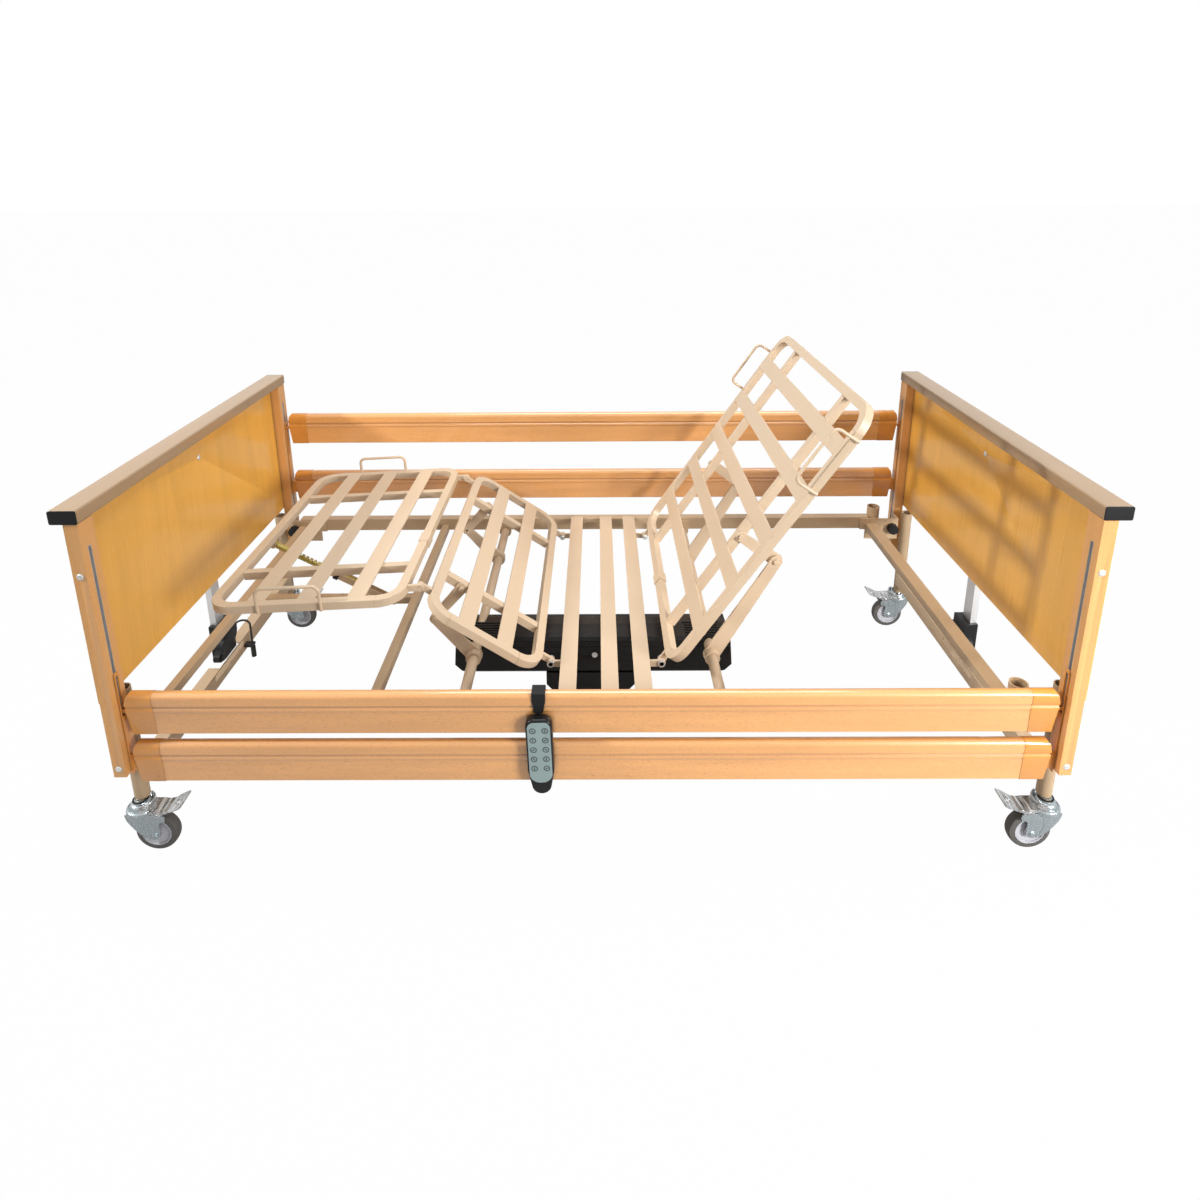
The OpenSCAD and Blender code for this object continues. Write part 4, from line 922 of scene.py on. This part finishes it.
class BED_OT_legs(bpy.types.Operator):
    """Make the legs of both lifting bases round tubes"""

    bl_idname = "bed.legs"
    bl_label = "Legs"

    def execute(self, context):
        for node in ("head_base", "foot_base"):
            work = merged(node)
            mesh = bpy.data.meshes.new(node)
            low, high = (Vector(c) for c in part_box(node))
            bars = [box for box in islands(node) if box[0].z > BARS_ABOVE]
            side = 1.0 if low.x > 0 else -1.0
            inner, radius = (low.x if side > 0 else high.x), LEG_RADIUS
            top = min(box[0].z for box in bars) - 0.0001
            rest = work.copy()
            for half, keep_bars in ((work, False), (rest, True)):
                drop = [v for v in half.verts
                        if (v.co.z > top + 0.00005) != keep_bars or v.co.z < low.z + SKIRT]
                bmesh.ops.delete(half, geom=drop, context="VERTS")
            for cut, way in ((low.y + LEG_DEPTH, -1), (high.y - LEG_DEPTH, 1)):
                every = work.verts[:] + work.edges[:] + work.faces[:]
                bmesh.ops.bisect_plane(work, geom=every, dist=0.000002, plane_co=(0, cut, 0),
                                       plane_no=(0, way, 0), clear_outer=True)
                bmesh.ops.holes_fill(work, edges=[e for e in work.edges if e.is_boundary], sides=0)
                for v in work.verts:
                    if abs(v.co.y - cut) < 0.00001:
                        v.co.y += way * BEAM_RUN
            bmesh.ops.dissolve_limit(work, angle_limit=FLAT, verts=work.verts, edges=work.edges)
            bmesh.ops.recalc_face_normals(work, faces=work.faces)
            uprights = bpy.data.meshes.new(node + "_bars")
            work.to_mesh(mesh)
            rest.to_mesh(uprights)
            work.free()
            rest.free()
            piece = finish_mesh(node + "_piece", joined(mesh, uprights), FINISH["frame"], node, 45.0)
            round_edges(piece, context.scene.bed_sizes.tube_edge)
            tubes = []
            for sign, end in ((1, low.y), (-1, high.y)):
                tube = turned([(radius - 0.0012, low.z + 0.0001), (radius, low.z + 0.0012), (radius, top),
                               (radius - LEG_WALL, top), (radius - LEG_WALL, low.z + 0.0001)],
                              48, closed=True)
                x, y = inner + side * radius, end + sign * LEG_DEPTH / 2
                tubes.append(given(tube, FINISH["leg"], Matrix.Translation((x, y, 0))))
                place = (Matrix.Translation((x, y + sign * BRACE_SEAT, 0))
                         @ Matrix.Rotation(sign * math.pi / 2, 4, "Z"))
                tubes.append(given(flat_body(BRACE, -0.002, 0.002, 0.0008), FINISH["leg"], place))
            finish_mesh(node + "_legs", joined(*tubes), FINISH["leg"], node, 30.0, replaces=False)
        return {"FINISHED"}


def loop_outline(circles, steps=96):
    """Convex outline round several circles of (x, z, radius), as points and their normals."""
    points = []
    for k in range(steps):
        a = 2 * math.pi * (k + 0.5) / steps
        n = Vector((math.cos(a), math.sin(a)))
        best = max(circles, key=lambda c: c[0] * n.x + c[1] * n.y + c[2])
        points.append((Vector((best[0], best[1])) + n * best[2], n))
    return points


def pebble(circles, levels):
    """A closed body from an outline drawn in by (inset) at each (depth) along Y."""
    mesh = bpy.data.meshes.new("pebble")
    work = bmesh.new()
    outline = loop_outline(circles)
    rings = []
    for depth, inset in levels:
        rings.append([work.verts.new((p.x - n.x * inset, depth, p.y - n.y * inset)) for p, n in outline])
    walled(work, rings)
    work.faces.new(rings[0])
    work.faces.new(rings[-1])
    return written(work, mesh)


CASE_LENGTH, CASE_WIDTH, CASE_THICK = 0.193, 0.059, 0.022
CASE_TILT = math.radians(-1.5)
CASE_HANG = 0.0513  # from the hook's top down to the case's shoulder
SHOULDER, CHEST, TAIL = 0.020, 0.024, 0.022  # corner radii of the case from the top down
FILM_RIM = 0.0038  # rim of the case round its film face
KEY_SIDE, KEY_TOP, KEY_PITCH = 0.0135, -0.0265, 0.0243
KEY_RING = ((0.0048, 0.0), (0.0051, 0.0009), (0.0062, 0.00115), (0.0073, 0.0009), (0.0076, 0.0))
KEY_PAD = ((0.0, -0.0001), (0.0050, -0.0001), (0.0050, 0.0004), (0.0044, 0.0007), (0.0, 0.0008))
KEY_BAR = ((-0.0036, 0.0), (-0.0036, 0.001), (0.0036, 0.001), (0.0036, 0.0))


class BED_OT_handset(bpy.types.Operator):
    """Form the hand control: rounded case, film face and ten round keys"""

    bl_idname = "bed.handset"
    bl_label = "Hand Control"

    def execute(self, context):
        low, high = (Vector(c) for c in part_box("handset_case"))
        hook = middle("handset_hook")
        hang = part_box("handset_hook")[1][2] - CASE_HANG
        place = (Matrix.Translation((hook.x, (low.y + high.y) / 2, hang))
                 @ Matrix.Rotation(CASE_TILT, 4, "Y"))
        w, r1, r2 = CASE_WIDTH / 2, SHOULDER, CHEST
        case = [(w - r1, -r1, r1), (r1 - w, -r1, r1), (w - r2, 0.062 - CASE_LENGTH, r2),
                (r2 - w, 0.062 - CASE_LENGTH, r2), (0, TAIL - CASE_LENGTH, TAIL)]
        half = CASE_THICK / 2
        levels = [(half, 0.0042), (half - 0.0008, 0.0022), (half - 0.0022, 0.0007), (half - 0.0045, 0.0001),
                  (0.002, 0.0), (0.0016, 0.0005), (0.0008, 0.0005), (0.0004, 0.0), (-half + 0.005, 0.0001),
                  (-half + 0.0028, 0.0006), (-half + 0.0012, 0.0015), (-half + 0.0004, 0.0026),
                  (-half + 0.0001, 0.0036)]
        mesh = pebble(case, levels)
        mesh.transform(place)
        finish_mesh("hand_control_case", mesh, FINISH["handset"], "handset_case", 30.0)
        f = w - FILM_RIM
        face = [(f - 0.015, -0.0205, 0.015), (0.015 - f, -0.0205, 0.015), (f - 0.0235, -0.1385, 0.0235),
                (0.0235 - f, -0.1385, 0.0235)]
        film = pebble(face, [(-half + 0.002, 0.0006), (-half - 0.0001, 0.0006), (-half - 0.0005, 0.0012)])
        keys, marks = [], []
        for row in range(5):
            for column in (-1, 1):
                spot = Vector((column * KEY_SIDE, -half + 0.0003, KEY_TOP - KEY_PITCH * row))
                keys.append((spot, (0, -1, 0), 0.0))
                marks.append((spot, (0, -1, 0), 0.5 + 0.9 * ((row * 2 + column) % 3)))
        ring, pad = turned(KEY_RING, 32, closed=True), turned(KEY_PAD, 24)
        bar = flat_body(KEY_BAR, -0.0011, 0.0011)
        dark, light = FINISH["key"], FINISH["keypad"]
        mesh = joined(given(film, light), placed(pad, keys, light), placed(ring, keys, dark),
                      placed(bar, marks, dark))
        mesh.transform(place)
        finish_mesh("hand_control_keys", mesh, "own", "handset_keys", 30.0)
        return {"FINISHED"}


RIB_SIDE, RIB_START, RIB_PITCH, RIB_COUNT = 0.285, 0.018, 0.011, 6
RIB = ((-0.048, -0.003), (-0.048, 0.0), (-0.046, 0.0012), (0.046, 0.0012), (0.048, 0.0), (0.048, -0.003))


class BED_OT_motor_ribs(bpy.types.Operator):
    """Raise ribs on both shoulders of the drive housing"""

    bl_idname = "bed.motor_ribs"
    bl_label = "Drive Ribs"

    def execute(self, context):
        low, high = (Vector(c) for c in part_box("motor_case"))
        centre, top = (low.x + high.x) / 2, high.z - 0.0013
        rib = flat_body(RIB, -0.0022, 0.0022, 0.0006, 1)
        spots = [(Vector((centre + side * RIB_SIDE, low.y + RIB_START + RIB_PITCH * k, top)), (0, 0, 1), 0.0)
                 for side in (-1, 1) for k in range(RIB_COUNT)]
        mesh = placed(rib, spots, FINISH["housing"])
        finish_mesh("motor_ribs", mesh, FINISH["housing"], "motor_case", 30.0, replaces=False)
        return {"FINISHED"}


FLOOR_DROP = 0.0008  # keeps the floor just under the tyres
FLOOR_TONE = (0.45, 0.45, 0.45, 1.0)
FLOOR_WHITE = 0.985  # share of plain white that the camera sees on the floor
WORLD_LEVEL = 0.33  # strength of the world on diffuse surfaces
LENS, SENSOR, SHIFT = 22.534, 36.0, (0.00544, -0.19452)
CAMERA_PLACE = Vector((0.02029, -1.896007, 1.564249))
CAMERA_TURN = (Matrix.Rotation(0.006, 3, "Z") @ Matrix.Rotation(-0.256, 3, "X")
               @ Matrix.Rotation(0.007, 3, "Y"))
LAMPS = (
    # name, from, at, width, height, power, spread in degrees
    ("key", (-3.4, -0.95, 2.4), (1.0, 0.0, 0.65), 0.26, 0.26, 100.0, 180),
    ("side", (2.9, -2.9, 1.5), (1.1, -0.5, 0.45), 1.2, 1.4, 33.0, 70),
    ("top", (0.3, 0.2, 4.6), (0.3, 0.0, 0.3), 3.0, 2.4, 122.0, 180),
)


class BED_OT_stage(bpy.types.Operator):
    """Set up the floor, the backdrop light, the lamps and the camera"""

    bl_idname = "bed.stage"
    bl_label = "Stage"

    def execute(self, context):
        scene = context.scene
        scene.cycles.use_light_tree = False
        half = scene.bed_sizes.floor_size / 2
        mesh = bpy.data.meshes.new("studio_floor")
        corners = [(-half, -half, 0), (half, -half, 0), (half, half, 0), (-half, half, 0)]
        mesh.from_pydata(corners, [], [(0, 1, 2, 3)])
        floor = bpy.data.objects.new("studio_floor", mesh)
        floor.location.z = -FLOOR_DROP
        scene.collection.objects.link(floor)
        mesh.materials.append(floor_material())
        make_world(scene)
        for name, place, aim, width, height, power, spread in LAMPS:
            lamp = bpy.data.lights.new(name, "AREA")
            lamp.shape = "RECTANGLE"
            lamp.size, lamp.size_y, lamp.energy, lamp.spread = width, height, power, math.radians(spread)
            item = bpy.data.objects.new(name, lamp)
            item.location = place
            item.rotation_euler = (Vector(aim) - Vector(place)).to_track_quat("-Z", "Y").to_euler()
            scene.collection.objects.link(item)
        camera = bpy.data.cameras.new("camera")
        camera.lens, camera.sensor_width = LENS, SENSOR
        camera.shift_x, camera.shift_y = SHIFT
        camera.clip_start, camera.clip_end = 0.05, 200.0
        item = bpy.data.objects.new("camera", camera)
        right, forward, up = (CAMERA_TURN.col[i] for i in range(3))
        turn = Matrix((right, up, -forward)).transposed()
        item.matrix_world = Matrix.Translation(CAMERA_PLACE) @ turn.to_4x4()
        scene.collection.objects.link(item)
        scene.camera = item
        scene.view_settings.view_transform = "Standard"
        return {"FINISHED"}


def floor_material():
    """Pale floor that reads white to the camera and keeps a soft shadow."""
    material = bpy.data.materials.new("studio_floor")
    material.use_nodes = True
    tree = material.node_tree
    tree.nodes.clear()
    out = tree.nodes.new("ShaderNodeOutputMaterial")
    diffuse = tree.nodes.new("ShaderNodeBsdfDiffuse")
    diffuse.inputs["Color"].default_value = FLOOR_TONE
    white = tree.nodes.new("ShaderNodeEmission")
    path = tree.nodes.new("ShaderNodeLightPath")
    share = tree.nodes.new("ShaderNodeMath")
    share.operation = "MULTIPLY"
    share.inputs[1].default_value = FLOOR_WHITE
    mix = tree.nodes.new("ShaderNodeMixShader")
    tree.links.new(path.outputs["Is Camera Ray"], share.inputs[0])
    tree.links.new(share.outputs[0], mix.inputs[0])
    tree.links.new(diffuse.outputs[0], mix.inputs[1])
    tree.links.new(white.outputs[0], mix.inputs[2])
    tree.links.new(mix.outputs[0], out.inputs[0])
    return material


def make_world(scene):
    """White to the camera, an even soft light to everything else."""
    world = bpy.data.worlds.new("studio")
    world.use_nodes = True
    scene.world = world
    tree = world.node_tree
    back = next(n for n in tree.nodes if n.type == "BACKGROUND")
    back.inputs["Color"].default_value = (1.0, 1.0, 1.0, 1.0)
    path = tree.nodes.new("ShaderNodeLightPath")
    level = tree.nodes.new("ShaderNodeMapRange")
    level.inputs["To Min"].default_value = WORLD_LEVEL
    level.inputs["To Max"].default_value = 1.0
    seen = path.outputs["Is Camera Ray"]
    for kind in ("Is Glossy Ray", "Is Transmission Ray"):
        both = tree.nodes.new("ShaderNodeMath")
        both.operation = "MAXIMUM"
        tree.links.new(seen, both.inputs[0])
        tree.links.new(path.outputs[kind], both.inputs[1])
        seen = both.outputs[0]
    tree.links.new(seen, level.inputs["Value"])
    tree.links.new(level.outputs[0], back.inputs["Strength"])


class BED_PT_panel(bpy.types.Panel):
    """Lists the steps that finish the bed"""

    bl_label = "Hospital Bed"
    bl_idname = "BED_PT_panel"
    bl_space_type = "VIEW_3D"
    bl_region_type = "UI"
    bl_category = "Bed"

    def draw(self, context):
        for step in STEPS:
            self.layout.operator(step.bl_idname)


STEPS = (
    BED_OT_stage, BED_OT_finishes, BED_OT_soft_edges, BED_OT_bolts, BED_OT_wheels, BED_OT_castors,
    BED_OT_legs, BED_OT_handset, BED_OT_motor_ribs,
)
CLASSES = (BedSizes, BedFinishes, *STEPS, BED_PT_panel)


def register():
    """Registers the classes and hangs the settings on the scene."""
    for item in CLASSES:
        bpy.utils.register_class(item)
    bpy.types.Scene.bed_sizes = bpy.props.PointerProperty(type=BedSizes)
    bpy.types.Scene.bed_finishes = bpy.props.PointerProperty(type=BedFinishes)


def unregister():
    """Takes the settings and the classes away again."""
    del bpy.types.Scene.bed_finishes
    del bpy.types.Scene.bed_sizes
    for item in reversed(CLASSES):
        bpy.utils.unregister_class(item)


def main():
    """Registers the add-on and runs every step in order."""
    register()
    for step in STEPS:
        group, call = step.bl_idname.split(".")
        getattr(getattr(bpy.ops, group), call)()


if __name__ == "__main__":
    main()
